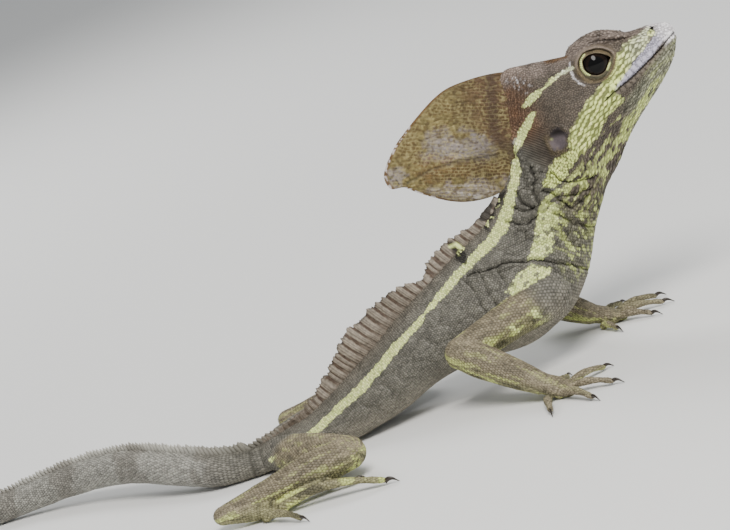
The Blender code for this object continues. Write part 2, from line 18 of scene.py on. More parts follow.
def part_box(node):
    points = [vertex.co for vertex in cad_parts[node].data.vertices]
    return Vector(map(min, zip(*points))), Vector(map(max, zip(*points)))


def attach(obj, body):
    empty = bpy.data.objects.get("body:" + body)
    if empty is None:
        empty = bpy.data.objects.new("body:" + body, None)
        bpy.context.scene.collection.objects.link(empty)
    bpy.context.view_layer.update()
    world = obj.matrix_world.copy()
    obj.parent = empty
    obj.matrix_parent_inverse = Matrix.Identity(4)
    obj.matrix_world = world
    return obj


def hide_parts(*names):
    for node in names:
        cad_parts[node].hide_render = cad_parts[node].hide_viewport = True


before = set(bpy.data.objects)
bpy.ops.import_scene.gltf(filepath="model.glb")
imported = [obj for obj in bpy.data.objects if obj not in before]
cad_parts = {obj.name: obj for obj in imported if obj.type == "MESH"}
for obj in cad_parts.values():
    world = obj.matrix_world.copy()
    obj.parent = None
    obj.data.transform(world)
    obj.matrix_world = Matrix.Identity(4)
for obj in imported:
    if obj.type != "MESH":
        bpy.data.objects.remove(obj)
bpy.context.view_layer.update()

bl_info = {
    "name": "Common Basilisk",
    "version": (1, 0, 0),
    "blender": (4, 5, 0),
    "location": "3D View > Sidebar > Basilisk",
    "description": "Dresses a still common basilisk with skin, scales, crests, eyes and claws",
    "category": "Object",
}

MM = 0.001

# The side view is the animal seen from a little above the floor, so a spot on the flank reads lower.
SIGHT = math.radians(12.0)
SLOPE = math.tan(SIGHT)
AWAY, AIM_HEIGHT = 700.0, 39.0

# The photograph is rolled by this turn from level, and shows this width in metres at the animal.
PHOTO_ROLL = math.radians(21.0)
PHOTO_WIDTH = 0.1752
# Cosine and sine of that turn, for patterns that lie level with the photograph.
ROLL_COS, ROLL_SIN = 0.934, 0.358

# Cross sections are closed curves through half widths at five levels, from underside to top.
LEVELS = (0.13, 0.30, 0.48, 0.66, 0.84)
TRUNK_SECTION = (0.74, 0.97, 1.0, 0.86, 0.56)
# Trunk from vent to throat: top x, top z, bottom x, bottom z, greatest half width.
TRUNK = (
    (-42.0, 6.4, -42.0, -0.2, 4.8),
    (-31.0, 8.4, -29.0, -0.3, 7.4),
    (-22.0, 11.0, -17.0, -0.2, 8.7),
    (-10.0, 17.2, -4.0, 2.4, 9.4),
    (0.0, 22.9, 8.0, 6.2, 9.9),
    (10.0, 28.2, 19.0, 7.0, 10.3),
    (19.0, 32.6, 31.0, 6.4, 10.6),
    (25.5, 35.6, 43.2, 11.0, 10.0),
    (30.0, 38.2, 50.6, 19.2, 8.6),
    (34.0, 41.4, 55.4, 28.0, 7.3),
    (37.6, 45.4, 60.2, 35.0, 7.4),
)
# Head from nape to snout: top x, top z, bottom x, bottom z, then its five half widths.
HEAD = (
    (40.6, 50.4, 62.4, 37.2, 4.4, 7.4, 8.4, 6.2, 3.3),
    (42.4, 57.6, 64.4, 39.0, 4.4, 8.2, 9.3, 5.9, 2.7),
    (43.4, 65.8, 66.7, 41.2, 4.6, 8.9, 9.9, 5.7, 2.4),
    (46.8, 71.0, 69.2, 44.2, 4.8, 9.3, 10.1, 6.3, 2.6),
    (52.4, 70.6, 71.9, 46.9, 4.9, 9.2, 10.2, 7.6, 3.5),
    (58.4, 69.6, 75.3, 49.7, 4.7, 8.6, 9.6, 8.7, 5.2),
    (63.4, 68.9, 78.2, 52.0, 4.4, 7.8, 8.8, 8.8, 7.2),
    (68.2, 70.0, 80.6, 53.8, 4.0, 7.0, 7.9, 8.2, 7.8),
    (73.2, 70.2, 82.8, 55.7, 3.6, 6.3, 6.9, 7.0, 6.6),
    (78.2, 69.0, 85.0, 57.8, 3.2, 5.6, 6.0, 5.5, 4.8),
    (83.0, 68.7, 87.0, 60.4, 2.6, 4.5, 4.9, 4.5, 3.8),
    (86.7, 68.2, 88.2, 62.9, 1.9, 3.2, 3.6, 3.4, 2.5),
    (88.3, 67.3, 88.6, 65.0, 0.9, 1.5, 1.8, 1.6, 1.0),
)
# Tail axis: x, y, z, half width, half depth.
TAIL = (
    (-42.0, 0.0, 3.1, 4.8, 3.3),
    (-51.0, 1.8, 4.2, 4.7, 3.9),
    (-61.0, 9.0, 6.6, 4.5, 4.3),
    (-73.0, 21.5, 8.2, 4.2, 4.3),
    (-88.0, 34.5, 6.8, 3.8, 4.0),
    (-107.0, 44.0, 4.2, 3.4, 3.6),
    (-130.0, 47.0, 3.0, 3.0, 3.2),
    (-154.0, 41.0, 2.6, 2.6, 2.8),
    (-176.0, 27.0, 2.2, 2.2, 2.4),
    (-197.0, 8.0, 1.8, 1.9, 2.0),
    (-220.0, -9.0, 1.5, 1.6, 1.7),
    (-247.0, -19.0, 1.25, 1.3, 1.4),
    (-276.0, -17.0, 1.0, 1.05, 1.1),
    (-303.0, -5.0, 0.72, 0.78, 0.8),
    (-326.0, 12.0, 0.42, 0.45, 0.45),
)
# The pointed scales: where they end along the tail, how far apart they stand and the greatest length.
TAIL_TEETH_END, SPINE_GAP, SPINE = 150.0, 1.2, 2.7
# One pointed scale: the corners of a ring in shares of its length, and the height and size of each ring.
SPINE_RING = ((-0.34, 0.0), (0.0, -0.17), (0.36, 0.0), (0.0, 0.17))
SPINE_LEVELS = ((-0.25, 1.0), (0.45, 0.86), (0.86, 0.52))
# Rim of the low crest along the back, and where its foot starts and ends along the back.
SAIL_RIM = (
    (-40.0, 8.2), (-34.0, 8.9), (-27.5, 11.0), (-21.5, 14.4), (-16.0, 19.2), (-11.0, 24.2), (-5.0, 27.2),
    (2.0, 30.6), (7.5, 31.0), (11.2, 31.0), (13.4, 33.6), (19.0, 36.6), (27.0, 38.9), (33.0, 41.8),
    (36.0, 44.6),
)
SAIL_FEET = (-38.0, 35.4)
# How far back a ray leans for its height.
SAIL_SWEEP = 0.18
# Head crest: its rim from the casque's top round to the nape, and the line in the head that it grows from.
CREST_RIM = (
    (47.5, 70.6), (43.9, 71.4), (39.4, 71.9), (33.9, 71.9), (30.0, 70.9), (25.6, 68.8), (20.0, 65.5),
    (16.0, 62.6), (12.0, 58.0), (12.2, 54.2), (15.4, 53.2), (18.6, 50.4), (24.4, 46.3), (29.5, 44.2),
    (35.0, 43.6), (39.5, 44.6),
)
CREST_ROOT = ((49.5, 67.0), (47.0, 63.0), (46.0, 58.0), (46.0, 53.0), (45.5, 48.5), (43.0, 45.5))

# The eye: its middle as x and z and as y, its radius, and how far its cornea bulges.
EYE, EYE_Y, EYE_RADIUS, CORNEA = (67.6, 66.0), 5.8, 4.1, 0.22
# The brow's ridge: x, y, z along its middle, and its radius.
BROW = ((62.6, 5.6, 66.9), (65.4, 6.2, 68.9), (68.8, 6.3, 69.8), (73.6, 5.6, 69.6), (79.6, 4.1, 68.0))
BROW_THICK = 0.95
# The brow's bar stands this far out and up from the solid's.
BROW_LIFT = (0.25, 0.45)
# Eggs of flesh in the cheek and round the eye: middle and radii.
CHEEK = ((62.5, 5.4, 55.5), (8.5, 3.9, 6.5))
SOCKET = ((EYE[0] - 0.2, 4.6, EYE[1] - 0.2), (5.6, 3.9, 4.7))
# Round the eye, by angle in degrees: how far out the opening, the lids' crease and their outer edge lie.
OPENING = (
    (5, 3.8), (22, 3.25), (38, 2.95), (61, 2.7), (90, 2.75), (115, 3.0), (148, 3.3), (165, 3.05), (198, 2.9),
    (238, 2.6), (270, 2.6), (303, 2.65), (332, 2.7), (356, 3.2),
)
LID_CREASE = (
    (0, 4.1), (20, 4.2), (50, 3.95), (72, 3.8), (100, 3.8), (130, 4.0), (150, 4.15), (175, 4.2), (196, 4.15),
    (221, 3.85), (244, 3.85), (274, 3.6), (311, 3.35), (340, 3.7),
)
LID_REACH = (
    (0, 6.2), (30, 6.0), (60, 5.2), (90, 4.95), (120, 5.3), (150, 6.0), (180, 6.3), (215, 5.9), (250, 5.4),
    (280, 5.2), (315, 5.4),
)

# Joints of the limbs: shoulder, elbow and wrist, then hip, knee and ankle.
ARM = {
    "right": ((38.5, -7.5, 17.8), (13.6, -16.5, 14.2), (28.2, -29.5, 4.2)),
    "left": ((38.5, 7.5, 15.5), (33.5, 30.0, 11.5), (47.5, 14.5, 4.2)),
}
LEG = {
    "right": ((-35.0, -5.0, 4.2), (-19.0, -34.5, 6.4), (-51.0, -37.5, 3.9)),
    "left": ((-33.0, 4.5, 4.3), (-1.0, 19.0, 6.6), (-32.0, 25.0, 3.9)),
}
# Lengths of the limbs: share of the length, half width and half depth there.
UPPER_ARM = ((0.0, 5.4, 6.0), (0.35, 4.6, 4.8), (0.75, 4.1, 4.2), (1.0, 3.7, 3.8))
FOREARM = ((0.0, 3.7, 3.7), (0.3, 4.1, 4.0), (0.7, 3.5, 3.4), (1.0, 2.9, 2.6))
THIGH = ((0.0, 4.8, 4.0), (0.4, 5.5, 4.4), (0.8, 4.5, 4.1), (1.0, 4.0, 3.9))
SHANK = ((0.0, 3.9, 3.9), (0.3, 4.4, 4.2), (0.75, 2.8, 2.8), (1.0, 2.4, 2.2))
# Hand and foot: heading in degrees from +X, length, half width and half depth of the palm, then the digits.
HAND_TURN = {"right": -30.0, "left": -4.0}
FOOT_TURN = {"right": -10.0, "left": 6.0}
PALM = (5.8, 3.9, 1.8)
SOLE = (12.5, 3.2, 1.8)
# Swell of the palm and sole in shares of length, width and depth, and the wrist's share of the forearm's end.
PALM_SWELL = ((0.4, 0.88, 1.15), (0.75, 1.0, 1.0), (1.0, 0.82, 0.85))
WRIST = 0.96
# Sides of the body, with the sign that turns the digits' fan.
SIDES = (("right", 1), ("left", -1))
# Steps between the tables' rows, and sides of each ring.
BODY_GRID = (8, 72)
TAIL_GRID = (10, 28)
# How much thicker than its solid a digit's skin is.
SKIN_OVER = 1.06
# Shares of a right angle at which a limb's round ends have rings.
DOME_ANGLES = (0.12, 0.35, 0.6, 0.85)

# Digits from the inner one out: degrees from the palm's heading, length and half width.
FINGERS = {
    "right": ((92, 8.0, 0.78), (56, 12.5, 0.8), (-2, 14.2, 0.82), (-32, 14.0, 0.82), (-64, 10.5, 0.8)),
    "left": ((66, 8.0, 0.78), (33, 12.5, 0.8), (6, 14.2, 0.82), (-20, 14.0, 0.82), (-52, 10.5, 0.8)),
}
TOE_ROWS = ((48.0, 10.0, 0.85), (26.0, 15.0, 0.9), (9.0, 21.0, 0.95), (-7.0, 29.0, 0.95), (-42.0, 14.0, 0.85))
TOES = {"right": TOE_ROWS, "left": TOE_ROWS}
# A digit's arch as a share of its length, and how far a claw stands out.
DIGIT_ARCH, CLAW = 0.1, 2.3

# Markings and folds in the side view: x, height, half width.
STRIPE_HEAD = (
    (64.0, 65.7, 0.3), (62.5, 66.0, 0.42), (60.5, 65.7, 0.6), (58.8, 65.2, 0.62), (56.8, 64.5, 0.5),
    (55.3, 63.8, 0.34), (54.0, 63.3, 0.72), (52.2, 62.7, 0.88), (50.4, 61.9, 0.86), (49.3, 61.5, 0.6),
)
STRIPE_BACK = (
    (50.8, 58.8, 0.6), (49.8, 58.1, 1.0), (47.0, 55.7, 1.15), (44.6, 53.3, 1.0), (43.2, 51.7, 0.3),
    (42.8, 50.0, 0.9), (42.0, 47.6, 1.15), (40.9, 45.4, 1.05), (39.4, 43.0, 1.0), (38.2, 41.2, 1.2),
    (36.6, 39.0, 1.5), (34.0, 35.9, 1.5), (30.4, 33.3, 1.25), (26.8, 31.7, 1.1), (20.0, 28.5, 0.95),
    (13.8, 25.0, 0.85), (9.1, 22.6, 0.45), (6.5, 20.8, 0.8), (-0.6, 17.2, 1.05), (-6.5, 13.7, 1.15),
    (-12.4, 10.8, 1.15), (-19.4, 7.8, 1.0), (-24.1, 5.8, 0.9), (-28.2, 4.6, 0.8), (-38.0, 2.5, 0.4),
)
# Outline of the yellow green band from the jaw to below the ear.
JAW_PATCH = (
    (84.0, 68.4), (80.0, 67.6), (76.9, 66.6), (73.5, 64.4), (70.8, 61.6), (68.3, 59.5), (65.6, 57.6),
    (63.1, 56.2), (60.4, 54.0), (57.7, 51.8), (56.2, 49.1), (55.6, 47.4), (53.6, 47.0), (51.0, 46.0),
    (48.3, 43.5), (46.4, 41.2), (49.2, 40.2), (51.8, 41.0), (54.0, 43.0), (57.0, 44.8), (60.9, 46.6),
    (63.2, 48.2), (65.4, 50.2), (67.4, 52.0), (70.0, 53.2), (72.4, 53.9), (71.6, 55.6), (70.5, 56.4),
    (74.0, 59.0), (77.5, 61.8), (80.7, 63.9), (83.0, 65.8), (85.5, 66.8),
)

LIP_BAND = (
    (87.6, 66.2, 1.0), (84.5, 64.6, 1.25), (81.5, 62.7, 1.3), (78.0, 60.8, 1.1), (74.6, 58.9, 0.7),
    (71.8, 57.6, 0.3),
)
THROAT_LINES = (
    (
        (82.0, 56.0, 0.3), (78.8, 53.6, 0.6), (75.0, 51.0, 0.9), (69.8, 46.9, 0.95), (66.3, 44.0, 0.9),
        (61.8, 41.2, 0.8), (58.3, 40.1, 0.7), (54.6, 39.4, 0.6), (51.6, 39.0, 0.6), (48.3, 38.7, 0.7),
        (45.9, 37.8, 0.6), (43.5, 35.7, 0.4),
    ),
    ((66.0, 46.6, 0.25), (62.0, 43.9, 0.45), (57.0, 41.6, 0.35), (52.8, 40.6, 0.25)),
    ((74.6, 47.8, 0.2), (70.5, 44.2, 0.4), (65.6, 40.2, 0.3)),
)
# Below the one line lies the belly, and above the other the top of the head.
BELLY_LINE = ((-42, -2), (-5, 3), (20, 8), (45, 14), (52, 20))
CROWN_LINE = ((40, 67), (50, 66.5), (60, 66.3), (70, 68.6), (90, 66.5))
# Outlines of the pale patches on neck, shoulder and arm.
NECK_PATCH = (
    (45.3, 37.2), (47.2, 36.9), (48.8, 36.1), (48.0, 33.8), (47.1, 32.0), (45.4, 30.3), (44.4, 27.8),
    (43.1, 25.7), (40.4, 24.6), (37.0, 26.0), (38.7, 27.9), (39.8, 29.9), (41.0, 32.4), (42.4, 34.3),
    (43.6, 36.0),
)
SHOULDER_PATCH = (
    (37.3, 24.6), (39.8, 23.2), (41.6, 21.8), (40.6, 20.6), (37.2, 20.2), (34.3, 19.7), (30.6, 19.1),
    (29.4, 20.5), (31.4, 22.2), (33.4, 23.4),
)
ARM_PATCHES = (
    ((33.0, 13.9), (35.8, 13.3), (35.6, 11.0), (32.9, 11.8)),
    ((26.9, 12.3), (28.3, 11.8), (29.2, 10.0), (27.6, 10.4)),
)
# The dark marks on nape and back, the cream one beside them, and the row of beads on the lids by angle.
NAPE_MARK = (
    (37.6, 43.6, 0.5), (36.2, 42.6, 0.9), (34.4, 41.6, 0.8), (31.8, 40.2, 1.3), (30.3, 38.6, 1.5),
    (30.6, 36.0, 0.8),
)
NAPE_ON_RAYS = ((36.6, 44.4, 0.8), (32.6, 42.0, 0.9), (31.0, 39.9, 1.5))
BACK_MARK = ((21.2, 36.4, 0.5), (22.2, 32.6, 1.1), (22.6, 30.6, 0.6))
BACK_CREAM = ((20.6, 35.8, 0.55), (22.2, 36.0, 0.6), (23.2, 34.2, 0.55), (22.0, 33.6, 0.4))
BEADS = ((116, 3.75), (142, 3.9), (160, 3.6), (174, 3.6), (198, 3.3), (222, 3.0))
# The groove under the brow, and the pale line behind the eye.
BROW_GROOVE = (
    (64.1, 68.5), (65.6, 69.6), (67.6, 70.3), (71.7, 70.0), (75.3, 68.6), (77.8, 68.1), (82.3, 68.7),
)
ORBIT_LINE = ((63.4, 67.4, 0.2), (62.9, 66.4, 0.3), (62.9, 63.4, 0.28), (63.6, 61.9, 0.2), (65.0, 60.6, 0.1))

# The crease across the head crest.
CREST_CREASE = ((16.4, 54.0), (23.1, 55.1), (29.7, 54.7), (36.0, 53.3), (42.5, 52.3))
# Patches of the head crest: outlines, then colour, outline, softness and weight of each.
MIDDLE_BLOOM = ((24.5, 63.3), (32.0, 61.0), (40.2, 57.1), (38.2, 51.9), (30.0, 55.4), (22.6, 58.0))
LOBE_RUST = ((18.0, 56.8), (24.0, 56.6), (39.5, 51.0), (39.0, 47.2), (30.0, 49.8), (20.0, 52.4))
LOWER_BLOOM = ((21.0, 50.8), (30.0, 48.8), (38.6, 46.4), (37.5, 42.0), (30.0, 42.0), (22.5, 45.0))
TIP_BLOOM = ((10.5, 57.5), (14.0, 60.0), (17.2, 58.0), (17.0, 54.5), (12.5, 52.5))
CREST_ZONES = (
    ("crest_mauve", MIDDLE_BLOOM, 1.6, 0.8),
    ("crest_dark", ((14.0, 62.0), (22.5, 63.5), (23.0, 57.5), (16.5, 56.8)), 2.0, 0.5),
    ("crest_dark", ((26.0, 70.0), (36.0, 71.0), (40.0, 66.0), (30.0, 64.5)), 2.5, 0.3),
    ("crest_rust", LOBE_RUST, 1.6, 0.7),
    ("crest_dark", ((32.6, 53.8), (40.4, 50.8), (37.1, 45.5), (29.1, 48.1)), 1.8, 0.65),
    ("crest_mauve", LOWER_BLOOM, 1.2, 0.62),
    ("crest_mauve", TIP_BLOOM, 1.0, 0.7),
)

# Loose skin: creases as lines, and outlines of the zones that wrinkle.
SHOULDER_CREASE = (
    (22.0, 27.4), (25.4, 27.2), (30.7, 27.1), (37.0, 25.7), (41.2, 23.7), (46.0, 20.8), (50.6, 17.4),
)
NECK_ZONE = (
    (43.6, 51.5), (47.0, 47.0), (49.6, 44.0), (48.2, 39.5), (52.0, 37.0), (56.0, 34.0), (54.0, 27.0),
    (50.0, 23.0), (44.0, 27.0), (39.5, 27.0), (36.0, 31.0), (35.5, 36.0), (38.6, 39.0), (41.6, 44.0),
    (43.0, 47.0),
)
NECK_FOLDS = (
    ((40.2, 42.1), (40.5, 39.4), (42.4, 37.3), (44.3, 37.2)),
    ((38.0, 39.4), (39.7, 37.3), (42.9, 37.1)),
    ((35.0, 36.6), (37.6, 35.0), (39.9, 34.2), (42.5, 34.6)),
    ((45.1, 47.0), (45.3, 43.5), (43.7, 40.8), (44.0, 37.4)),
    ((46.3, 40.2), (48.6, 37.6), (52.9, 36.8), (57.2, 36.6)),
    ((48.7, 36.8), (51.5, 33.7), (56.3, 35.2)),
    ((46.8, 34.0), (50.0, 30.4), (54.6, 27.6)),
)
FLANK_FOLDS = (
    ((25.1, 27.3), (25.1, 21.9), (25.9, 17.0)),
    ((29.1, 26.4), (30.2, 22.6)),
    ((21.0, 26.6), (22.3, 23.1), (22.9, 17.6)),
)
FLANK_ZONE = (
    (-24.0, 4.0), (-8.0, 12.0), (10.0, 22.0), (24.0, 30.0), (33.0, 33.5), (38.0, 27.0), (30.0, 16.0),
    (12.0, 10.0), (-8.0, 4.0),
)
# The casque: the fold behind it, with painted shade along it, the zone of its fine rows, and its rim, with a
# painted highlight along it; then a rust mark and a patch of painted glints on the crown.
CASQUE_FOLD = (
    (44.2, 71.0), (42.7, 66.8), (41.4, 61.9), (40.4, 58.0), (40.9, 55.1), (42.8, 53.3), (42.6, 50.4),
)
CASQUE_ZONE = (
    (39.0, 57.5), (43.2, 52.6), (46.5, 56.2), (51.0, 60.6), (54.0, 65.0), (52.5, 69.8), (47.0, 71.8),
    (42.0, 70.5),
)
CASQUE_RIM_HIGHLIGHT = ((41.2, 57.4), (41.8, 55.0), (43.4, 53.9), (44.8, 54.6))
CROWN_RUST = ((58.4, 70.0, 0.9), (60.4, 69.5, 0.8), (63.2, 69.2, 0.4))
CROWN_GLINT_PATCH = ((47.6, 68.6), (50.4, 69.2), (52.6, 65.6), (51.0, 64.4))
# Bare skin round the ear and the ridged skin before it, the mouth's line and the fold below the jaw.
EAR_SURROUND = ((50.8, 52.6), (52.6, 52.6), (53.4, 48.6), (56.0, 47.6), (54.0, 46.4), (51.2, 47.8))
CORDUROY = ((48.4, 57.0), (52.1, 54.5), (51.5, 51.4), (51.8, 46.6), (48.5, 45.2), (44.6, 49.6), (45.6, 53.5))
MOUTH = ((68.0, 55.6), (70.2, 56.5), (76.3, 58.6), (82.7, 61.5), (85.4, 62.9), (89.2, 65.1))
JAW_FOLD = ((49.6, 44.0), (50.6, 41.4), (53.9, 39.6), (59.0, 39.4))
# Middles of the ear and the nostril, and the ear's half width and height.
EAR, EAR_HALF = (54.0, 50.9), (2.3, 2.7)
NOSTRIL = (84.7, 68.1)


def shade(red, green, blue):
    """A colour given as 0 to 255 on a screen, as the linear values that shaders take."""
    shares = (v / 255 for v in (red, green, blue))
    return tuple(((v + 0.055) / 1.055) ** 2.4 if v > 10 / 255 else v / 12.92 for v in shares)


def paint_prop(label, note, red, green, blue):
    """A colour that the user may set, given as 0 to 255 on a screen."""
    usual = shade(red, green, blue)
    return FloatVectorProperty(
        name=label, description=note, subtype="COLOR", size=3, min=0.0, max=1.0, default=usual
    )


class BasiliskColours(bpy.types.PropertyGroup):
    """Colours of the animal's skin, markings and eyes."""

    flank: paint_prop("Flank", "Grey brown of the sides and neck", 109, 106, 96)
    back: paint_prop("Back", "Brown of the back above the stripe", 98, 88, 76)
    belly: paint_prop("Belly", "Paler grey of the underside", 150, 143, 127)
    temple: paint_prop("Temple", "Grey brown of the cheeks", 91, 81, 70)
    casque: paint_prop("Casque", "Rust brown of the casque's rear", 108, 78, 56)
    # This colour, made lighter, also paints the highlight along the brow's ridge.
    crown: paint_prop("Crown", "Mauve grey of the casque's top and the brows", 136, 122, 112)
    stripe: paint_prop("Stripe", "Cream of the stripe along the side", 243, 255, 164)
    jaw: paint_prop("Jaw band", "Yellow green of the band along the jaw", 226, 238, 140)
    lip: paint_prop("Lips", "Lilac white of the upper lip", 182, 178, 194)
    chin: paint_prop("Chin", "Grey olive of the lower jaw", 158, 158, 132)
    # This pale colour also paints the glints on the crown and the painted highlight along the casque's rim.
    snout: paint_prop("Snout", "Pale mauve of the snout's tip", 242, 237, 238)
    lid: paint_prop("Lids", "Tan olive of the lids", 98, 85, 62)
    ear: paint_prop("Ear", "Grey violet of the ear", 88, 80, 84)
    # Besides the marks, this near black paints the shade in the folds, in the lids' and crest's creases,
    # under the ear's rim and in the nostril.
    dark: paint_prop("Dark marks", "Near black of the marks on the nape and in the folds", 30, 26, 22)
    arm: paint_prop("Limbs", "Olive brown of the arms and legs", 133, 123, 100)
    arm_olive: paint_prop("Arm's underside", "Greenish olive of the arms' lower side", 142, 140, 97)
    tail: paint_prop("Tail", "Grey of the tail", 155, 153, 144)
    crest: paint_prop("Crest", "Olive brown of the head crest", 125, 112, 68)
    crest_line: paint_prop("Crest lines", "Yellowish lines between the crest's scales", 158, 146, 98)
    crest_dark: paint_prop("Crest mottle", "Dark brown of the crest's mottles", 84, 65, 34)
    crest_rust: paint_prop("Crest rust", "Orange brown of the crest's lower lobe and rim", 98, 68, 32)
    crest_mauve: paint_prop("Crest bloom", "Mauve grey of the patch across the crest", 140, 132, 134)
    ray: paint_prop("Rays", "Mauve brown of the back crest's rays", 136, 126, 112)
    # Besides the colour between the rays, this paints the shade in the brow's groove and along the casque's
    # fold.
    web_and_shade: paint_prop("Web", "Rust brown between the rays", 66, 49, 37)
    claw: paint_prop("Claws", "Dark horn of the claws", 46, 38, 30)
    iris: paint_prop("Iris", "Very dark brown of the iris", 40, 28, 20)


def size_prop(label, note, usual, least):
    """A size that the user may set."""
    return FloatProperty(name=label, description=note, default=usual, min=least)


class BasiliskSizes(bpy.types.PropertyGroup):
    """Sizes of the finish, in millimetres."""

    grain: size_prop("Skin grain", "Edge of the skin's faces in millimetres", 0.36, 0.2)
    body_scale: size_prop("Body scale", "Spacing of the flank's rows in millimetres", 0.58, 0.4)
    head_scale: size_prop("Head scale", "Spacing of the cheek's scales in millimetres", 0.5, 0.3)
    limb_scale: size_prop("Limb scale", "Length of a limb scale in millimetres", 0.72, 0.4)
    tail_scale: size_prop("Tail scale", "Length of a tail scale in millimetres", 0.8, 0.4)
    scale_rise: size_prop("Scale rise", "Height of a scale over its length", 0.2, 0.05)
    rays: IntProperty(
        name="Back rays", description="Number of rays in the back crest", default=40, min=10, max=90
    )


class BasiliskSettings(bpy.types.PropertyGroup):
    """All that a user would change on the basilisk."""

    colours: PointerProperty(type=BasiliskColours)
    sizes: PointerProperty(type=BasiliskSizes)


def settings():
    """The user's settings."""
    return bpy.context.scene.basilisk


def colour(name):
    """One of the user's colours."""
    return np.array(getattr(settings().colours, name)[:])


# Curves and lofts.


def lengths(points):
    """The length travelled at each of a line's points."""
    return np.concatenate([[0], np.cumsum(np.linalg.norm(np.diff(points, axis=0), axis=1))])


def units(rows):
    """Each row's unit direction."""
    return rows / np.linalg.norm(rows, axis=1)[:, None]


def towards(heading):
    """The unit direction along the floor at this angle from +X."""
    return np.array([math.cos(heading), math.sin(heading), 0])


def spline(rows, steps):
    """Rows joined by a smooth curve through each of them, with this many steps in each span."""
    rows = np.array(rows, float)
    ends = np.vstack([2 * rows[0] - rows[1], rows, 2 * rows[-1] - rows[-2]])
    out = []
    for i in range(len(rows) - 1):
        a, b, c, d = ends[i : i + 4]
        for t in np.arange(steps) / steps:
            second, third = 2 * a - 5 * b + 4 * c - d, 3 * b - a - 3 * c + d
            out.append(0.5 * (2 * b + (c - a) * t + second * t**2 + third * t**3))
    out.append(rows[-1])
    return np.array(out)


def read_off(at, knots, rows):
    """Rows read off between their knots, at one place or at many."""
    return np.stack([np.interp(at, knots, rows[:, k]) for k in range(rows.shape[1])], -1)


def resample(rows, count):
    """A smooth curve through the rows, as this many points at even steps along its length."""
    curve = spline(rows, 8)
    length = lengths(curve)
    return read_off(np.linspace(0, length[-1], count), length, curve)


def loft(rings):
    """Points and faces of a closed mesh through rings of equal count, with a fan on each end."""
    rings = np.array(rings)
    rows, count = rings.shape[:2]
    points = list(rings.reshape(-1, 3))
    faces = []
    for i in range(rows - 1):
        for j in range(count):
            k = (j + 1) % count
            faces.append((i * count + j, i * count + k, (i + 1) * count + k, (i + 1) * count + j))
    for first, ring in ((0, rings[0]), ((rows - 1) * count, rings[-1])):
        centre = len(points)
        points.append(ring.mean(0))
        faces += [(first + j, first + (j + 1) % count, centre) for j in range(count)]
    return np.array(points), faces


def oval(centre, side, up, sides, square=2.3):
    """One ring: a rounded oval, a little square."""
    a = 2 * np.pi * (np.arange(sides) + 0.5) / sides - np.pi / 2
    x = np.sign(np.cos(a)) * abs(np.cos(a)) ** (2 / square)
    y = np.sign(np.sin(a)) * abs(np.sin(a)) ** (2 / square)
    return centre + side * x[:, None] + up * y[:, None]


def body_rings(steps, sides):
    """Rings of the body from vent to snout."""
    rows = [row[:4] + tuple(row[4] * share for share in TRUNK_SECTION) for row in TRUNK]
    rings = []
    for row in spline(rows + list(HEAD), steps):
        top, bottom = np.array([row[0], 0, row[1]]), np.array([row[2], 0, row[3]])
        rise = top - bottom
        right = [(0.0, 0.0)] + list(zip(row[4:], LEVELS)) + [(0.0, 1.0)]
        outline = right + [(-w, f) for w, f in right[-2:0:-1]]
        dense = spline(outline[-2:] + outline + outline[:3], 8)[16:-16]
        reach = np.linalg.norm(rise)
        length = lengths(dense * [1, reach])
        at = (np.arange(sides) + 0.5) / sides * length[-1]
        across, share = (np.interp(at, length, dense[:, i]) for i in (0, 1))
        rings.append([bottom + rise * f + np.array([0, y, 0]) for y, f in zip(across, share)])
    return np.array(rings)


def tail_rings(steps, sides):
    """Rings of the tail from its base to its tip, and the unit direction that stands up from each."""
    rows = spline(TAIL, steps)
    ahead = np.gradient(rows[:, :3], axis=0)
    ahead[0] = (-1.0, 0.0, 0.0)
    ahead = units(ahead)
    side = units(np.cross(ahead, [0, 0, 1.0]))
    up = np.cross(side, ahead)
    rings = [oval(r[:3], s * r[3], u * r[4], sides, 2.1) for r, s, u in zip(rows, side, up)]
    return np.array(rings), up


def axes(start, end):
    """From one point to another: the distance, and the unit directions ahead, to the side and up."""
    reach = np.linalg.norm(end - start)
    ahead = (end - start) / reach
    side = np.cross(ahead, [0, 0, 1.0])
    side /= np.linalg.norm(side)
    return reach, ahead, side, np.cross(side, ahead)


def segment_rings(start, end, swell, sides, steps):
    """Rings of one length of a limb, round at both ends."""
    start, end = np.array(start, float), np.array(end, float)
    _, ahead, side, up = axes(start, end)
    rows = spline(swell, steps)

    def dome(centre, row, way, angles):
        """Rings of a round end."""
        for angle in angles:
            wide, out = math.sin(angle * math.pi / 2), way * row[1] * math.cos(angle * math.pi / 2)
            yield oval(centre + ahead * out, side * row[1] * wide, up * row[2] * wide, sides, 2.0)

    run = end - start
    shaft = [oval(start + run * share, side * wide, up * deep, sides, 2.0) for share, wide, deep in rows]
    return np.array(
        [*dome(start, rows[0], -1, DOME_ANGLES), *shaft, *dome(end, rows[-1], 1, reversed(DOME_ANGLES))]
    )


def digit_axis(root, heading, length, half, count):
    """Centres and radii along a finger or toe: it arches up from the palm and swells at its joints."""
    ahead = towards(heading)
    share = np.linspace(0, 1, count)
    arch = half + DIGIT_ARCH * length * np.sin(np.pi * share)
    swell = half * (1.15 - 0.36 * share + 0.10 * np.cos(share * 4 * np.pi))
    centres = np.array(root) * [1, 1, 0] + ahead * (share * length)[:, None]
    return centres + np.array([0, 0, 1.0]) * arch[:, None], swell, ahead


def digit_rings(root, heading, length, half, sides=14, count=24):
    """Rings of a finger or toe, round at its tip."""
    centres, swell, ahead = digit_axis(root, heading, length, half, count)
    side = np.array([-ahead[1], ahead[0], 0])
    swell = swell * np.append(np.ones(count - 3), [0.9, 0.68, 0.3])
    return np.array([oval(c, side * r, np.array([0, 0, r]), sides, 2.0) for c, r in zip(centres, swell)])


